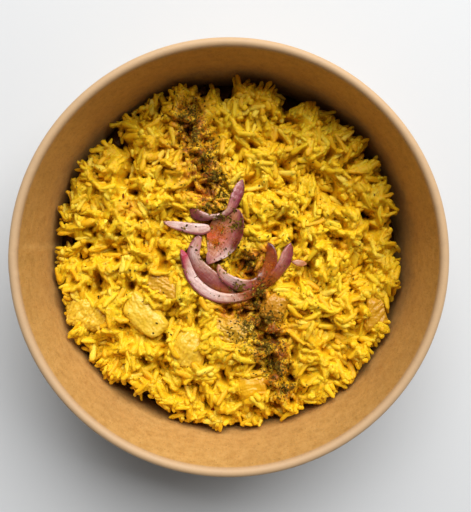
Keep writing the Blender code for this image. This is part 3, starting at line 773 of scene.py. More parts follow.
def crumple(ground, x, y):
    """Depth in millimetres of the folds that grains leave where they have melted together."""
    along, across = by_heading(x, y, ground.drift[ground.cell(x, y)])
    strand = noise_at(along / 2.6, across, 0.2, 1.5 * MM)
    return (1.3 * abs(strand) + 0.7 * noise_at(x, y, 0.3, 2.6 * MM) + 0.5 * noise_at(x, y, 0.4, 1.2 * MM)
            - 0.3)


def streak_tone(ground, x, y):
    """Tone of the mass where it shows the backs of grains that have melted into it."""
    along, across = by_heading(x, y, ground.drift[ground.cell(x, y)])
    return min(max(0.5 + 1.3 * noise_at(along / 3, across, 0.6, 1.9 * MM), 0.0), 1.0)


def core_mesh(ground):
    """The sticky mass between the grains, with its side along the wall and a flat bottom."""
    evened = ground.evened()
    points = []
    floor_z = BASE_Z + PAPER / 2 + GAP
    foot = wall_inside(CORE_FOOT_Z) - CORE_FOOT_GAP
    thick, thin = CORE_DEPTH
    for column in range(CORE_COLUMNS):
        angle = 2 * math.pi * column / CORE_COLUMNS
        edge = float(ground.edge_at(angle)) - CORE_INSET
        for ring in range(1, CORE_RINGS + 1):
            x, y, _ = around(edge * ring / CORE_RINGS, angle, 0)
            loose = min(max(0.5 + noise_at(x, y, 0.05, 8 * MM), 0.0), 1.0)
            border = max(0.0, ring / CORE_RINGS - 0.97) / 0.03
            depth = thick + (thin - thick) * loose + 2.0 * border + crumple(ground, x, y)
            points.append((x, y, ground.at(evened, x, y) - ground.at(ground.cuts, x, y) - depth * MM))
        points += [around(radius, angle, z) for radius, z in (
            (edge, CORE_SIDE_Z[0]), ((edge + foot) / 2, CORE_SIDE_Z[1]), (foot, CORE_FOOT_Z),
            (wall_inside(floor_z) - CORE_FLOOR_GAP, floor_z))]
    count = CORE_RINGS + 4
    points += [(0, 0, ground.at(evened, 0, 0) - thin * MM), (0, 0, floor_z)]
    faces = [(a, d, c, b) for a, b, c, d in band_faces(CORE_COLUMNS, count)]
    faces += fan(len(points) - 2, 0, CORE_COLUMNS, count)
    faces += fan(len(points) - 1, count - 1, CORE_COLUMNS, count, True)
    return mesh_from("rice_core", points, faces)


def part_clumps(ground, draw):
    """Parts the heap into clumps: creases, the holes and ledges between them, and small deep pits."""
    folds, breaks = ground.noise(0.12, CREASE_LENGTH), ground.noise(0.31, BREAK_LENGTH)
    crease = np.exp(-((folds * CREASE_SHARP) ** 2)) * np.clip(0.5 + 3 * breaks, 0, 1)
    crease = crease * (1 - ground.banks)
    heap = ground.heap - CREASE_DEPTH * crease + 0.2 * CREASE_DEPTH + BANK_HEIGHT * ground.banks
    for length, height, layer in CLUMPS:
        heap = heap + height * MM * ground.noise(layer * MM, length * MM)
    over = np.maximum(heap - CROWN_Z, 0)
    heap = np.minimum(heap, CROWN_Z) + over / (1 + over / CROWN_ROUND)
    for x, y, half_length, half_width, heading, depth in HOLES:
        along, across = by_heading(ground.x - x * MM, ground.y - y * MM, math.radians(heading))
        reach = np.hypot(along / half_length, across / half_width) / MM
        heap = heap - depth * MM * np.exp(-(reach**2))
        ground.lower(reach < 1, heap + HOLE_RISE)
        ground.cut(0.45 * depth * MM * np.exp(-(reach**4)))
    ground.heap = heap
    ground.lower(crease > 0.75, heap + HOLE_RISE)
    ground.cut(CREASE_CUT * np.clip(3 * crease - 2, 0, 1))
    ground.top = np.minimum(ground.top, heap - START_DEPTH * (0.6 + 0.5 * crease))
    for _ in range(PITS):
        radius, angle = PIT_SPREAD * math.sqrt(draw.random()), draw.uniform(-math.pi, math.pi)
        x, y, _ = around(radius, angle, 0)
        reach = np.hypot(ground.x - x, ground.y - y) / (draw.uniform(*PIT_RADIUS) * MM)
        ground.lower(reach < 1, heap - PIT_CLEAR)
        ground.cut(draw.uniform(0.5, 1.0) * PIT_DEPTH * np.exp(-(reach**4)))


def paint_depth_shade(mesh, ground, evened):
    """Gives each point how deep it lies under the heap's face, for the painted shade between the grains
    and the painted shadow in the gap by the wall.
    """
    depths = [PAINTED_GAP_SHADE if v.co.z < SHADE_Z
              else min((ground.at(evened, v.co.x, v.co.y) - v.co.z) / PAINTED_SHADE_DEPTH, 1.0)
              for v in mesh.vertices]
    set_values(mesh, "depth", np.clip(depths, 0, PAINTED_GAP_SHADE))


def make_rice(ground, draw):
    rice = rice_material()
    part_clumps(ground, draw)
    coarse = [grain_shape(5, 6, *bend) for bend in ((0.5, 0.1), (-0.6, -0.1), (0.1, 0.15))]
    fine = [grain_shape(8, 8, *bend)
            for bend in ((0.6, 0.12), (-0.7, -0.1), (0.15, 0.15), (-0.3, 0.05), (1.1, 0.0))]
    pieces = []
    # Each layer: name, number, goal above the heap's face in millimetres, lengths, shapes
    for name, count, above, lengths, shapes in (
            ("rice_under_grains", UNDER_GRAINS, -1.9, (0.8, 1.05), coarse),
            ("rice_grains", TOP_GRAINS, 0.9, (0.82, 1.14), fine),
            ("rice_broken_grains", BROKEN_GRAINS, 1.2, (0.28, 0.55), coarse)):
        grains = settle(ground, draw, count, ground.heap + above * MM, lengths)
        item = new_object(name, grain_mesh(name, grains, shapes, draw), rice)
        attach(item, "root")
        pieces.append(item)
    core = new_object("rice_core", core_mesh(ground), rice)
    set_values(core.data, "tone", [streak_tone(ground, v.co.x, v.co.y) for v in core.data.vertices])
    set_values(core.data, "ends", np.zeros(len(core.data.vertices)))
    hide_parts("rice")
    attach(core, "root")
    evened = ground.evened()
    for item in (*pieces, core):
        stain_and_shade_mesh(item.data)
        paint_depth_shade(item.data, ground, evened)


# ---------------------------------------------------------------- chicken


def chicken_material():
    shade = Shade("cooked_chicken")
    crease = shade.value("crease")
    stain_and_shade = shade.value("stain_and_shade")
    warmth = shade.value("warmth")
    mottle = shade.noise(350, 4, 0.6)
    pale = shade.ramp(mottle,
        (0.3, (0.62, 0.375, 0.014)), (0.5, (0.71, 0.465, 0.028)), (0.7, (0.77, 0.56, 0.075)))
    warmed = shade.mix(warmth, pale, (0.70, 0.39, 0.003))
    yellow = shade.mix(shade.value("soaked"), warmed, (0.46, 0.20, 0.004))
    # Painted shade: the chunk's cracks and grooves are darker and more orange.
    crease_shaded = shade.tint(yellow, crease, 0.2, 1.0, 0.7, (0.58, 0.30, 0.012))
    oil_and_shade_tinted = shade.tint(crease_shaded, stain_and_shade, 0.1, 1.0, 0.55, (0.60, 0.22, 0.01))
    dust = shade.value("dust")
    specks = shade.noise(1300, 3, 0.7)
    dusty = shade.math("MULTIPLY", dust, shade.range(specks, 0.46, 0.58, 0.0, 0.8))
    dusted = shade.mix(dusty, oil_and_shade_tinted, (0.20, 0.11, 0.008))
    fine = shade.noise(1100, 3, 0.6)
    return shade.finish(dusted, fine, 0.08 * MM, 0.5, Roughness=0.42, Subsurface_Weight=0.25,
                        Subsurface_Radius=(1.0, 0.95, 0.5), Subsurface_Scale=1.5 * MM)


CHICKEN_VOXEL = 0.32 * MM
CHICKEN_PROUD = 2.3 * MM          # by which a chunk stands above the heap where no grain lies on it
# Each chunk: heading of its fibres in degrees, how fibrous, crumbly, yellow and oily (0 to 1)
CHICKEN_GRAIN = {
    "chicken_1": (-55, 0.2, 0.3, 0.2, 0),
    "chicken_2": (65, 0.55, 0.3, 0.25, 0),
    "chicken_3": (-20, 0.4, 0.9, 0.3, 0.4),
    "chicken_4": (50, 0.9, 0.35, 0.6, 0.6),
    "chicken_5": (-30, 0.3, 0.5, 0.9, 0.85),
    "chicken_6": (10, 0.3, 0.3, 1.0, 0.1),
    "chicken_7": (-28, 0.5, 0.4, 0.6, 0.55),
    "chicken_8": (60, 0.8, 0.5, 0.2, 0),
}


def make_chicken(ground):
    flesh = chicken_material()
    for node, (heading, fibrous, crumbly, yellow, oily) in CHICKEN_GRAIN.items():
        mesh = frame["nodes"][node].data.copy()
        mesh.materials.clear()
        item = new_object(node + "_meat", mesh, flesh)
        bm = bmesh.new()
        bm.from_mesh(mesh)
        bmesh.ops.remove_doubles(bm, verts=bm.verts[:], dist=0.01 * MM)
        bm.to_mesh(mesh)
        bm.free()
        rounded = item.modifiers.new("rounded", "SUBSURF")
        rounded.levels = 1
        rounded.render_levels = 1
        even = item.modifiers.new("even", "REMESH")
        even.mode = "VOXEL"
        even.voxel_size = CHICKEN_VOXEL
        graph = bpy.context.evaluated_depsgraph_get()
        mesh = bpy.data.meshes.new_from_object(item.evaluated_get(graph))
        item.modifiers.clear()
        item.data = mesh
        mesh.name = item.name
        tear(mesh, math.radians(heading), fibrous, crumbly)
        set_values(mesh, "warmth", np.full(len(mesh.vertices), yellow))
        set_values(mesh, "soaked", np.full(len(mesh.vertices), oily))
        mesh.shade_smooth()
        stain_and_shade_mesh(mesh)
        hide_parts(node)
        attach(item, "root")
        covered = np.zeros(ground.x.shape)
        for i, j, high, _ in ground.lay(item):
            ground.top[i, j] = max(ground.top[i, j], high)
            ground.kept_out[i, j] = high > ground.heap[i, j] + CHICKEN_PROUD
            covered[i, j] = 1.0
        ground.bank(covered)


def tear(mesh, heading, fibrous, crumbly):
    """Gives a chunk its fibres along a heading and the crumbs and cracks of torn meat, and stores how
    deep each point lies in a crack for the painted shade there.
    """
    crease_shades, moved = [], []
    for vert in mesh.vertices:
        along, across = by_heading(vert.co.x, vert.co.y, heading)
        bend = 0.8 * MM * noise_at(along, across, 0, 6 * MM)
        strand = noise_at(along / 7, across + bend, vert.co.z, 1.0 * MM)
        lump = noise.noise(vert.co / (2.1 * MM))
        crumb = noise.noise(vert.co / (0.9 * MM) + Vector((7, 3, 1)))
        swell = 0.8 * noise.noise(vert.co / (5 * MM) + Vector((3, 9, 4)))
        depth = 0.7 * fibrous * strand + 0.9 * crumbly * lump + 0.6 * crumbly * crumb + swell
        depth -= 0.8 * fibrous * max(0.0, -strand - 0.15) + 0.5 * crumbly * max(0.0, -crumb - 0.2)
        moved.append(vert.co + vert.normal * depth * MM)
        crease_shades.append(min(max(-1.1 * (depth - swell) - 0.05, 0.0), 1.0))
    for vert, place in zip(mesh.vertices, moved):
        vert.co = place
    set_values(mesh, "crease", crease_shades)


# ---------------------------------------------------------------- onion

# Colours of the flesh and skin; n is painted shade, the maroon-brown of flesh lying in shadow under or
# beside another ring
HUES = {
    "w": (0.60, 0.41, 0.365), "c": (0.55, 0.335, 0.24), "p": (0.46, 0.195, 0.16),
    "v": (0.29, 0.076, 0.082), "m": (0.20, 0.020, 0.046), "g": (0.42, 0.010, 0.055),
    "d": (0.10, 0.008, 0.010), "o": (0.34, 0.085, 0.004), "r": (0.54, 0.07, 0.003),
    "b": (0.16, 0.032, 0.002), "k": (0.09, 0.018, 0.002), "e": (0.49, 0.19, 0.065),
    "n": (0.17, 0.030, 0.016),
}
# Routes of (x, y, lift above the heap, width, thickness in millimetres, tilt in degrees, oil,
# hues from the strip's inner to its outer edge)
ONION = {
    "onion_ring_outer": (
        (-21.5, 2.9, 2.2, 1.2, 1.6, 10, 0, "gggg"), (-20.6, 0.5, 2.2, 3.4, 2.4, 8, 0, "gggd"),
        (-19.7, -2.6, 2.1, 4.2, 2.7, 6, 0, "wpgd"), (-18.4, -6.6, 2, 4.7, 2.9, 6, 0, "wwpm"),
        (-16.3, -10.6, 2, 5.0, 3, 4, 0, "wwwm"), (-13.1, -14.1, 1.9, 5.1, 3, 4, 0, "wwwv"),
        (-9.3, -16.8, 1.9, 5.1, 3, 2, 0, "wwwv"), (-4.7, -18.6, 1.9, 5, 3, 2, 0, "cwcv"),
        (0.3, -19.2, 1.8, 4.6, 3, 0, 0.05, "cccb"), (4.6, -18.7, 1.7, 4.4, 2.9, -4, 0.3, "bcck"),
        (8.7, -17.4, 1.6, 4.2, 2.8, -12, 0.7, "kbbk"), (12.4, -15.3, 1.5, 4.2, 2.7, -20, 1, "kbkk"),
        (15.9, -12.9, 1.6, 4.6, 2.7, -28, 1, "obbd"), (19.3, -10.2, 1.8, 5.4, 2.7, -36, 0.8, "obmd"),
        (22.4, -6.6, 2.2, 6.6, 2.7, -42, 0.25, "vvmd"), (25, -2.6, 2.6, 7.4, 2.7, -42, 0, "pvmm"),
        (26.4, 1.4, 2.9, 6.6, 2.5, -40, 0, "pvmm"), (27.3, 4.4, 3, 3.8, 2, -36, 0, "vvmd"),
        (27.8, 5.9, 3, 1.2, 1.2, -36, 0, "mmdd"),
    ),
    # Its n hue on the outer part is painted shade where it passes under the outer ring.
    "onion_ring_middle": (
        (-13.4, 9.2, 1.3, 2.4, 1.8, 6, 0, "vppm"), (-14.8, 6.2, 1.3, 4.6, 2.0, 4, 0, "ppcv"),
        (-16.0, 2.7, 1.2, 5.6, 2.0, 0, 0, "pwwv"), (-16.1, -0.9, 1.1, 6.4, 2.0, -4, 0, "cwnd"),
        (-14.5, -4.5, 0.8, 7.6, 2.0, -8, 0, "cpnd"), (-11.4, -8.0, 0.5, 8.6, 2.0, -12, 0.1, "cvnd"),
        (-7.3, -11.2, 0.3, 8.2, 1.9, -12, 0.1, "pvnk"), (-3.4, -13.5, 0.1, 6.4, 1.8, -12, 0.2, "vmob"),
        (0.6, -15.3, -0.1, 4.0, 1.6, -12, 0.5, "mobb"), (3.3, -16.4, -0.3, 1.8, 1.3, -12, 0.8, "bbkk"),
    ),
    "onion_ring_inner": (
        (-4.7, -3.9, 2.5, 1.2, 1.5, -4, 0, "epev"), (-4.0, -6.4, 2.5, 3.2, 2.2, -10, 0, "ecev"),
        (-1.6, -9.4, 2.4, 4.8, 2.4, -16, 0, "cwpm"), (2.0, -11.7, 2.2, 5.8, 2.6, -20, 0, "wwvm"),
        (6, -13.1, 2, 6.2, 2.6, -18, 0.1, "cpmd"), (9.9, -13.1, 1.7, 5.6, 2.5, -8, 0.3, "bvmd"),
        (13.3, -11.6, 1.5, 5.0, 2.4, 8, 0.9, "kbdk"), (16.2, -8.6, 1.6, 5.6, 2.2, 22, 0.8, "obnd"),
        (18.4, -4.8, 1.8, 6.4, 2.1, 30, 0.5, "bbrd"), (19.3, -1, 2, 6.4, 2.1, 32, 0.4, "obnd"),
        (19.2, 2.2, 2.1, 5.2, 2.0, 30, 0.3, "bbrd"), (18.5, 4.7, 2.1, 3.4, 1.8, 26, 0, "rbdd"),
        (18.0, 5.9, 2, 1.4, 1.4, 20, 0, "rddd"),
    ),
    "onion_petal": (
        (4.1, 20.9, 2.3, 2.2, 1.3, 8, 0.1, "kvvd"), (3.0, 18.6, 2.5, 8.4, 1.4, 10, 0.1, "kevd"),
        (0.9, 14.8, 2.6, 14.2, 1.4, 12, 0.15, "kevd"), (-1.2, 11.0, 2.6, 16.0, 1.4, 14, 0.15, "bevd"),
        (-2.9, 7.2, 2.6, 15.2, 1.4, 14, 0.1, "rrpd"), (-4.7, 3.7, 2.7, 12, 1.4, 12, 0.05, "oepw"),
        (-6.8, 0.8, 2.7, 7.6, 1.4, 8, 0, "pepw"), (-8.6, -1.6, 2.6, 4.0, 1.3, 4, 0, "pvpp"),
        (-9.9, -3.2, 2.5, 1.2, 1.1, 0, 0, "dddm"),
    ),
    "onion_hook": (
        (5.9, 34.4, 3.4, 1.2, 1.2, -10, 0, "vvmd"), (5.0, 32, 3.4, 4.2, 1.9, -14, 0, "pvvd"),
        (3.9, 28.8, 3.3, 5.6, 2.3, -18, 0, "vvmd"), (2.6, 25.6, 3.2, 5.6, 2.3, -20, 0, "vvmd"),
        (1.2, 22.6, 3.1, 4.4, 2.2, -24, 0.1, "ppmd"), (-0.3, 20.5, 3, 3.2, 2.0, -28, 0.15, "cpvd"),
        (-2.6, 19.0, 2.9, 2.5, 1.9, -32, 0.1, "wpvd"), (-5.4, 18.2, 2.8, 2.4, 1.9, -34, 0, "wwpd"),
        (-8.4, 17.9, 2.6, 3.0, 2.0, -36, 0, "wpmd"), (-11.1, 18.0, 2.5, 4.8, 2.2, -38, 0, "wvmd"),
        (-13.6, 18.5, 2.4, 6.4, 2.2, -40, 0, "pmmd"), (-15.5, 19.4, 2.2, 6.0, 2.0, -38, 0, "vmmd"),
        (-16.9, 20.8, 2, 2.6, 1.5, -36, 0, "mmdd"), (-17.3, 21.5, 2, 1.0, 1.1, -36, 0, "mmdd"),
    ),
    "onion_strip_left": (
        (-29.4, 15.5, 2.4, 1.0, 1.2, 4, 0, "pppv"), (-26.2, 14.6, 2.5, 3.0, 2.0, 4, 0, "cwcp"),
        (-22.4, 13.7, 2.6, 4.2, 2.4, 4, 0, "wwwv"), (-18.4, 12.9, 2.6, 4.8, 2.6, 2, 0, "wwwv"),
        (-14.3, 12.4, 2.5, 5.2, 2.6, 0, 0, "wwcv"), (-11.2, 12.4, 2.2, 4.8, 2.4, 0, 0, "wwcv"),
        (-9.3, 12.8, 1.9, 3.2, 2.0, 0, 0, "wccv"), (-8.7, 13, 1.8, 1.6, 1.5, 0, 0, "cccv"),
    ),
    "onion_stub": (
        (28.9, -2.5, 1.6, 1.2, 1.2, -6, 0, "eeev"), (30.8, -2.9, 1.5, 2.8, 1.6, -6, 0, "ecee"),
        (33.3, -3.3, 1.3, 2.8, 1.5, -6, 0, "eeeo"), (35, -3.5, 1.1, 1.2, 1.0, -6, 0, "eeeo"),
    ),
}
# How far a strip's edges stand above its middle, in millimetres
ONION_CUP = {"onion_petal": 2.2, "onion_ring_middle": 0.7, "onion_ring_inner": 0.6}
ONION_SIDES = 28
ONION_SINK = 0.5 * MM             # by which grains press into a strip from below
ONION_TIP = 0.5 * MM              # by which its end stands out
ONION_WAVER = 0.22 * MM           # of its face, from one place to the next
ONION_FLATNESS = (0.5, 0.6)       # of the section's sides and of its top and bottom
HUE_STOPS = (0.0, 0.42, 0.68, 0.87)   # across a strip, from its inner to its outer edge


def smooth_route(route, steps):
    """A smooth curve through a route's rows, all their numbers and hues read alike."""
    stops = np.array([(*row[:7], *(part for hue in row[7] for part in HUES[hue])) for row in route])
    ends = np.vstack([2 * stops[0] - stops[1], stops, 2 * stops[-1] - stops[-2]])
    rows = []
    for before, start, end, after in zip(ends, ends[1:], ends[2:], ends[3:]):
        for step in range(steps):
            t = step / steps
            rows.append(0.5 * (2 * start + (end - before) * t
                               + (2 * before - 5 * start + 4 * end - after) * t**2
                               + (3 * start - before - 3 * end + after) * t**3))
    rows.append(stops[-1])
    return np.array(rows)


def onion_mesh(name, route, cup):
    """A curved strip of onion with thin edges, flesh on top and skin on its outer side."""
    rows = smooth_route(route, 6)
    places = rows[:, :2] * MM
    heights = np.array([rice_height(x, y) for x, y in places]) + rows[:, 2] * MM
    heights = np.convolve(np.pad(heights, 4, mode="edge"), np.ones(9) / 9, mode="valid")
    centre = np.column_stack([places, heights])
    along = np.gradient(centre, axis=0)
    along /= np.linalg.norm(along, axis=1)[:, None]
    turn_way = np.sign(np.sum(np.cross(along[:-1], along[1:])[:, 2]))
    length = np.concatenate([[0], np.cumsum(np.linalg.norm(np.diff(centre, axis=0), axis=1))])
    points, values, hues = [], [], []
    for k, (middle, ahead, row) in enumerate(zip(centre, along, rows)):
        width, thick, tilt = row[3] * MM, row[4] * MM, math.radians(row[5])
        outward = np.cross(ahead, (0, 0, turn_way))
        outward /= np.linalg.norm(outward)
        up = np.cross(outward, ahead)
        up *= np.sign(up[2])
        out = outward * math.cos(tilt) + up * math.sin(tilt)
        rise = up * math.cos(tilt) - outward * math.sin(tilt)
        for side in range(ONION_SIDES):
            angle = 2 * math.pi * side / ONION_SIDES
            across, height = [math.copysign(abs(reach) ** flat, reach) for reach, flat in
                              zip((math.cos(angle), math.sin(angle)), ONION_FLATNESS)]
            height *= thick / 2 * (1 - 0.45 * across**4)
            bowl = (0.2 * thick + cup * width / 12) * (across * across - 0.4)
            waver = ONION_WAVER * noise_at(length[k] / (2.6 * MM), 1.5 * across, row[0], 1)
            points.append(middle + out * (across * width / 2) + rise * (height + bowl + waver))
            values.append((across * 0.5 + 0.5, row[6], length[k] / MM))
            hues.append([np.interp(values[-1][0], HUE_STOPS, row[7 + part::3]) for part in range(3)])
    faces = band_faces(len(rows), ONION_SIDES, closed=True, whole=False)
    for end in (0, len(rows) - 1):
        points.append(centre[end] + along[end] * (ONION_TIP if end else -ONION_TIP))
        values.append((0.6, rows[end, 6], length[end] / MM))
        hues.append(rows[end, 13:16])
        faces += fan(len(points) - 1, end * ONION_SIDES, ONION_SIDES)
    mesh = mesh_from(name, [tuple(p) for p in points], faces)
    for value, column in zip(("skin", "oil", "run"), np.clip(values, 0, None).T):
        set_values(mesh, value, column)
    hue = mesh.attributes.new("hue", "FLOAT_COLOR", "POINT")
    colours = np.column_stack([np.clip(hues, 0.001, 1), np.ones(len(hues))])
    hue.data.foreach_set("color", colours.astype(np.float32).ravel())
    return mesh


def onion_streaks(shade, across, along):
    """Noise drawn out along an onion strip, from the strip's own run and width."""
    x = shade.math("MULTIPLY", shade.value("skin"), across)
    y = shade.math("MULTIPLY", shade.value("run"), along)
    return shade.add("TexNoise", Vector=shade.add("CombineXYZ", X=x, Y=y), Scale=1.0, Detail=3.0)


def onion_material():
    shade = Shade("red_onion_flesh")
    streaks = onion_streaks(shade, 12.0, 0.3)
    bands = onion_streaks(shade, 1.2, 0.9)
    blotches = shade.noise(300, 4, 0.6)
    light = shade.range(shade.value("hue"), 0.08, 0.4, 0.15, 1.0)
    banded = shade.math("MULTIPLY", light, shade.range(bands, 0.52, 0.78, 0.0, 0.5))
    paled = shade.mix(banded, shade.value("hue", "Color"), (0.78, 0.54, 0.46))
    streaked = shade.math("MULTIPLY", light, shade.range(streaks, 0.5, 0.72, 0.0, 0.45))
    veined = shade.mix(streaked, paled, (0.78, 0.50, 0.44))
    lined = shade.tint(veined, streaks, 0.46, 0.28, 0.50, (0.22, 0.03, 0.045))
    blotched = shade.tint(lined, blotches, 0.50, 0.30, 0.35, (0.34, 0.10, 0.07))
    oil = shade.value("oil")
    broken = shade.noise(620, 4, 0.7)
    soak = shade.math("MULTIPLY", oil, shade.range(broken, 0.36, 0.62, 0.55, 1.4))
    spiced = shade.tint(blotched, soak, 0.05, 0.8, 0.85, (0.38, 0.080, 0.003))
    browned = shade.tint(spiced, soak, 0.5, 1.1, 0.95, (0.07, 0.012, 0.001))
    relief = shade.math("ADD", streaks, blotches)
    return shade.finish(browned, relief, 0.3 * MM, 0.7, Roughness=0.24, Specular_IOR_Level=0.5,
                        Coat_Weight=0.25, Coat_Roughness=0.1, Subsurface_Weight=0.3,
                        Subsurface_Radius=(1.0, 0.5, 0.4), Subsurface_Scale=0.8 * MM)


def make_onion(ground):
    flesh = onion_material()
    for node, route in ONION.items():
        mesh = onion_mesh(node + "_slice", route, ONION_CUP.get(node, 0.0))
        item = new_object(mesh.name, mesh, flesh)
        tidy_normals(item)
        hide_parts(node)
        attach(item, "root")
        for i, j, _, low in ground.lay(item):
            ground.ceiling[i, j] = min(ground.ceiling[i, j], low + ONION_SINK)


# ---------------------------------------------------------------- herbs and spice powder

FLAKE_HALF = 0.06 * MM            # half of a flake's thickness
CRUMB_REACH = 79 * MM             # from the bowl's axis
CRUMB_LOWEST_Z = 18 * MM


def herb_material():
    shade = Shade("dried_herb")
    tone = shade.value("tone")
    colour = shade.ramp(tone,
        (0.0, (0.045, 0.020, 0.002)), (0.4, (0.095, 0.054, 0.004)),
        (0.75, (0.16, 0.105, 0.008)), (1.0, (0.33, 0.225, 0.02)))
    mottle = shade.noise(1500, 3, 0.6)
    flecked = shade.tint(colour, mottle, 0.45, 0.7, 0.4, (0.15, 0.10, 0.02))
    return shade.finish(flecked, mottle, 0.1 * MM, 0.6, Roughness=0.9, Specular_IOR_Level=0.1)


def powder_material():
    shade = Shade("spice_powder")
    tone = shade.value("tone")
    colour = shade.ramp(tone,
        (0.0, (0.14, 0.012, 0.004)), (0.35, (0.34, 0.05, 0.004)), (0.7, (0.55, 0.14, 0.006)),
        (1.0, (0.70, 0.26, 0.01)))
    mottle = shade.noise(2500, 2, 0.5)
    flecked = shade.tint(colour, mottle, 0.4, 0.7, 0.3, (0.30, 0.04, 0.004))
    return shade.finish(flecked, mottle, 0.05 * MM, 0.5, Roughness=0.9, Specular_IOR_Level=0.1)


def surface_trees():
    """One tree of all the pieces that crumbs can fall on."""
    points, faces = [], []
    for item in bpy.context.scene.objects:
        if item.type != "MESH" or "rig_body" not in item or item.hide_render:
            continue
        if "bowl" in item.name or "under" in item.name:
            continue
        start = len(points)
        points += [v.co for v in item.data.vertices]
        faces += [[start + i for i in p.vertices] for p in item.data.polygons]
    return BVHTree.FromPolygons(points, faces)


def fall_spots(draw, tree, patches):
    """Places and normals where crumbs of patches (x, y, radius, number) land."""
    for px, py, radius, number in patches:
        for _ in range(int(number)):
            turn, reach = draw.uniform(-math.pi, math.pi), abs(draw.normal()) * 0.62 * radius * MM
            x, y = px * MM + reach * math.cos(turn), py * MM + reach * math.sin(turn)
            if math.hypot(x, y) <= CRUMB_REACH:
                place, normal, *_ = tree.ray_cast(Vector((x, y, 0)) + SKY, DOWN)
                if place is not None and place.z > CRUMB_LOWEST_Z:
                    yield place, normal


def flake_points(draw, size):
    """A small leaf flake: an uneven, bent six-sided plate with both faces."""
    rim = []
    for corner in range(6):
        angle = math.pi * corner / 3 + draw.uniform(-0.3, 0.3)
        reach = size * draw.uniform(0.55, 1.1)
        rim.append((reach * math.cos(angle), 0.6 * reach * math.sin(angle)))
    curl = draw.uniform(0.1, 0.5) / size
    points = []
    for side in (FLAKE_HALF, -FLAKE_HALF):
        points += [(x, y, curl * x * x + side) for x, y in rim]
        points.append((0.0, 0.0, side))
    faces = fan(6, 0, 6) + fan(13, 7, 6, turned=True)
    for corner in range(6):
        after = (corner + 1) % 6
        faces += [(corner, 7 + corner, 7 + after), (corner, 7 + after, after)]
    return np.array(points), np.array(faces)


def crumb_points(draw, size):
    """A tiny uneven grain of powder with eight faces."""
    ways = np.array([(1, 0, 0), (-1, 0, 0), (0, 1, 0), (0, -1, 0), (0, 0, 1), (0, 0, -1)], dtype=float)
    points = ways * size * draw.uniform(0.6, 1.2, (6, 1))
    return points, np.array([(0, 2, 4), (2, 1, 4), (1, 3, 4), (3, 0, 4),
                             (2, 0, 5), (1, 2, 5), (3, 1, 5), (0, 3, 5)])


def scatter(name, material, draw, tree, patches, shape, sizes, sink, tone_power=1.0):
    """Makes one piece of flakes or crumbs, each lying on what is below it."""
    parts = []
    for place, normal in fall_spots(draw, tree, patches):
        size = draw.uniform(*sizes) * MM
        base, faces = shape(draw, size)
        lean = normal.lerp(Vector(draw.normal(size=3)), 0.25).normalized()
        spin = Matrix.Rotation(draw.uniform(0, WHOLE_TURN), 3, "Z")
        turn = lean.to_track_quat("Z", "Y").to_matrix() @ spin
        points = base @ np.array(turn).T + np.array(place + normal * size * sink)
        parts.append((points, faces, draw.random() ** tone_power))
    item = new_object(name, joined_mesh(name, parts, "tone"), material, smooth=False)
    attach(item, "root")


# Powder in millimetres: x, y, radius, number
POWDER_PATCHES = (
    (-11, 28, 6, 420), (-6, 6, 3, 700), (-4, 12, 5, 500), (-14, 40, 8, 220), (6, -26, 8, 320),
    (18, -35, 8, 520), (21, -46, 9, 520), (14, -14, 5, 260), (20, -4, 4, 160), (24, -62, 6, 140),
    (-17, 58, 8, 260), (-8, 34, 7, 260), (0, 0, 75, 420),
)
# Bits of dried chilli and onion skin, in millimetres: x, y, radius, number
CHILLI_PATCHES = (
    (-50, -34, 1.2, 2), (-48, 27, 0.8, 1), (-37, 25, 0.8, 1), (-46, -12, 0.8, 1),
    (6, -50, 0.8, 1), (-7, -71, 0.8, 1), (38, -26, 1, 1), (50, 8, 1, 1),
)


def make_seasoning(draw):
    tree = surface_trees()
    scatter("herb_flakes", herb_material(), draw, tree, HERB_PATCHES, flake_points, (0.26, 0.95), 0.15)
    powder = powder_material()
    scatter("spice_crumbs", powder, draw, tree, POWDER_PATCHES, crumb_points, (0.10, 0.26), 0.25)
    scatter("chilli_bits", powder, draw, tree, CHILLI_PATCHES, flake_points, (0.8, 1.5), 0.35, 9)


# ---------------------------------------------------------------- camera, light and floor


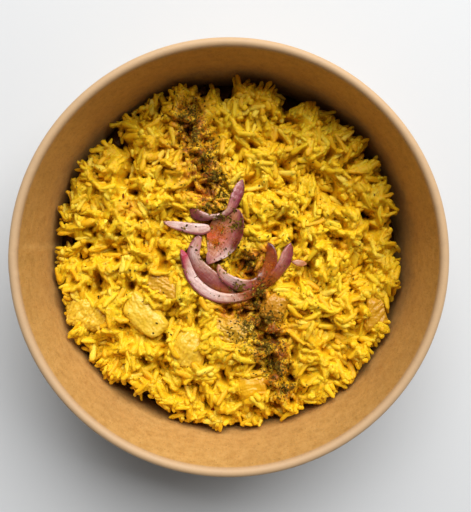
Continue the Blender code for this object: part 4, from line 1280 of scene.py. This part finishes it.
CAMERA_PLACE, CAMERA_TARGET = (-0.0034, 0.0207, 0.4127), (0.0024, 0.0018, 0.065)
CAMERA_LENS = 58.65               # in millimetres, on a sensor 36 mm wide
WINDOW_PLACE, WINDOW_TARGET = (0.31, 0.98, 1.22), (0, 0, 0.03)
WINDOW_SIZE, WINDOW_WATTS = (1.7, 1.2), 49.6
WINDOW_COLOUR, WORLD_COLOUR = (1.0, 0.99, 0.98), (1.0, 0.97, 0.94, 1.0)
WORLD_STRENGTH = 0.165
FLOOR_COLOUR = (0.580, 0.596, 0.610)


def aim(item, target, up):
    ahead = (Vector(target) - item.location).normalized()
    right = ahead.cross(Vector(up)).normalized()
    turn = Matrix((right, right.cross(ahead), -ahead)).transposed()
    item.rotation_euler = turn.to_euler()


def make_camera():
    data = bpy.data.cameras.new("camera")
    data.lens = CAMERA_LENS
    data.sensor_width = 36
    data.clip_start = 0.01
    camera = bpy.data.objects.new("camera", data)
    bpy.context.scene.collection.objects.link(camera)
    camera.location = CAMERA_PLACE
    aim(camera, CAMERA_TARGET, (0, 1, 0))
    bpy.context.scene.camera = camera


def make_lights():
    world = bpy.data.worlds.new("studio")
    bpy.context.scene.world = world
    world.use_nodes = True
    background = world.node_tree.nodes["Background"]
    background.inputs["Color"].default_value = WORLD_COLOUR
    background.inputs["Strength"].default_value = WORLD_STRENGTH
    data = bpy.data.lights.new("window", "AREA")
    data.shape = "RECTANGLE"
    data.size, data.size_y = WINDOW_SIZE
    data.energy = WINDOW_WATTS
    data.color = WINDOW_COLOUR
    window = bpy.data.objects.new("window", data)
    bpy.context.scene.collection.objects.link(window)
    window.location = WINDOW_PLACE
    aim(window, WINDOW_TARGET, (0, 0, 1))


def make_floor():
    shade = Shade("pale_floor")
    shade.feed(shade.shader.inputs["Base Color"], FLOOR_COLOUR)
    shade.feed(shade.shader.inputs["Roughness"], 0.8)
    mesh = mesh_from("floor", [(-3, -3, 0), (3, -3, 0), (3, 3, 0), (-3, 3, 0)], [(0, 1, 2, 3)])
    floor = new_object("floor", mesh, shade.material, smooth=False)


def main():
    noise.seed_set(RICE_SEED)
    draw = np.random.default_rng(RICE_SEED)
    bpy.context.scene.view_settings.view_transform = "Standard"
    make_camera()
    make_lights()
    make_floor()
    make_bowl()
    ground = Ground()
    make_chicken(ground)
    make_onion(ground)
    make_rice(ground, draw)
    make_seasoning(draw)


main()
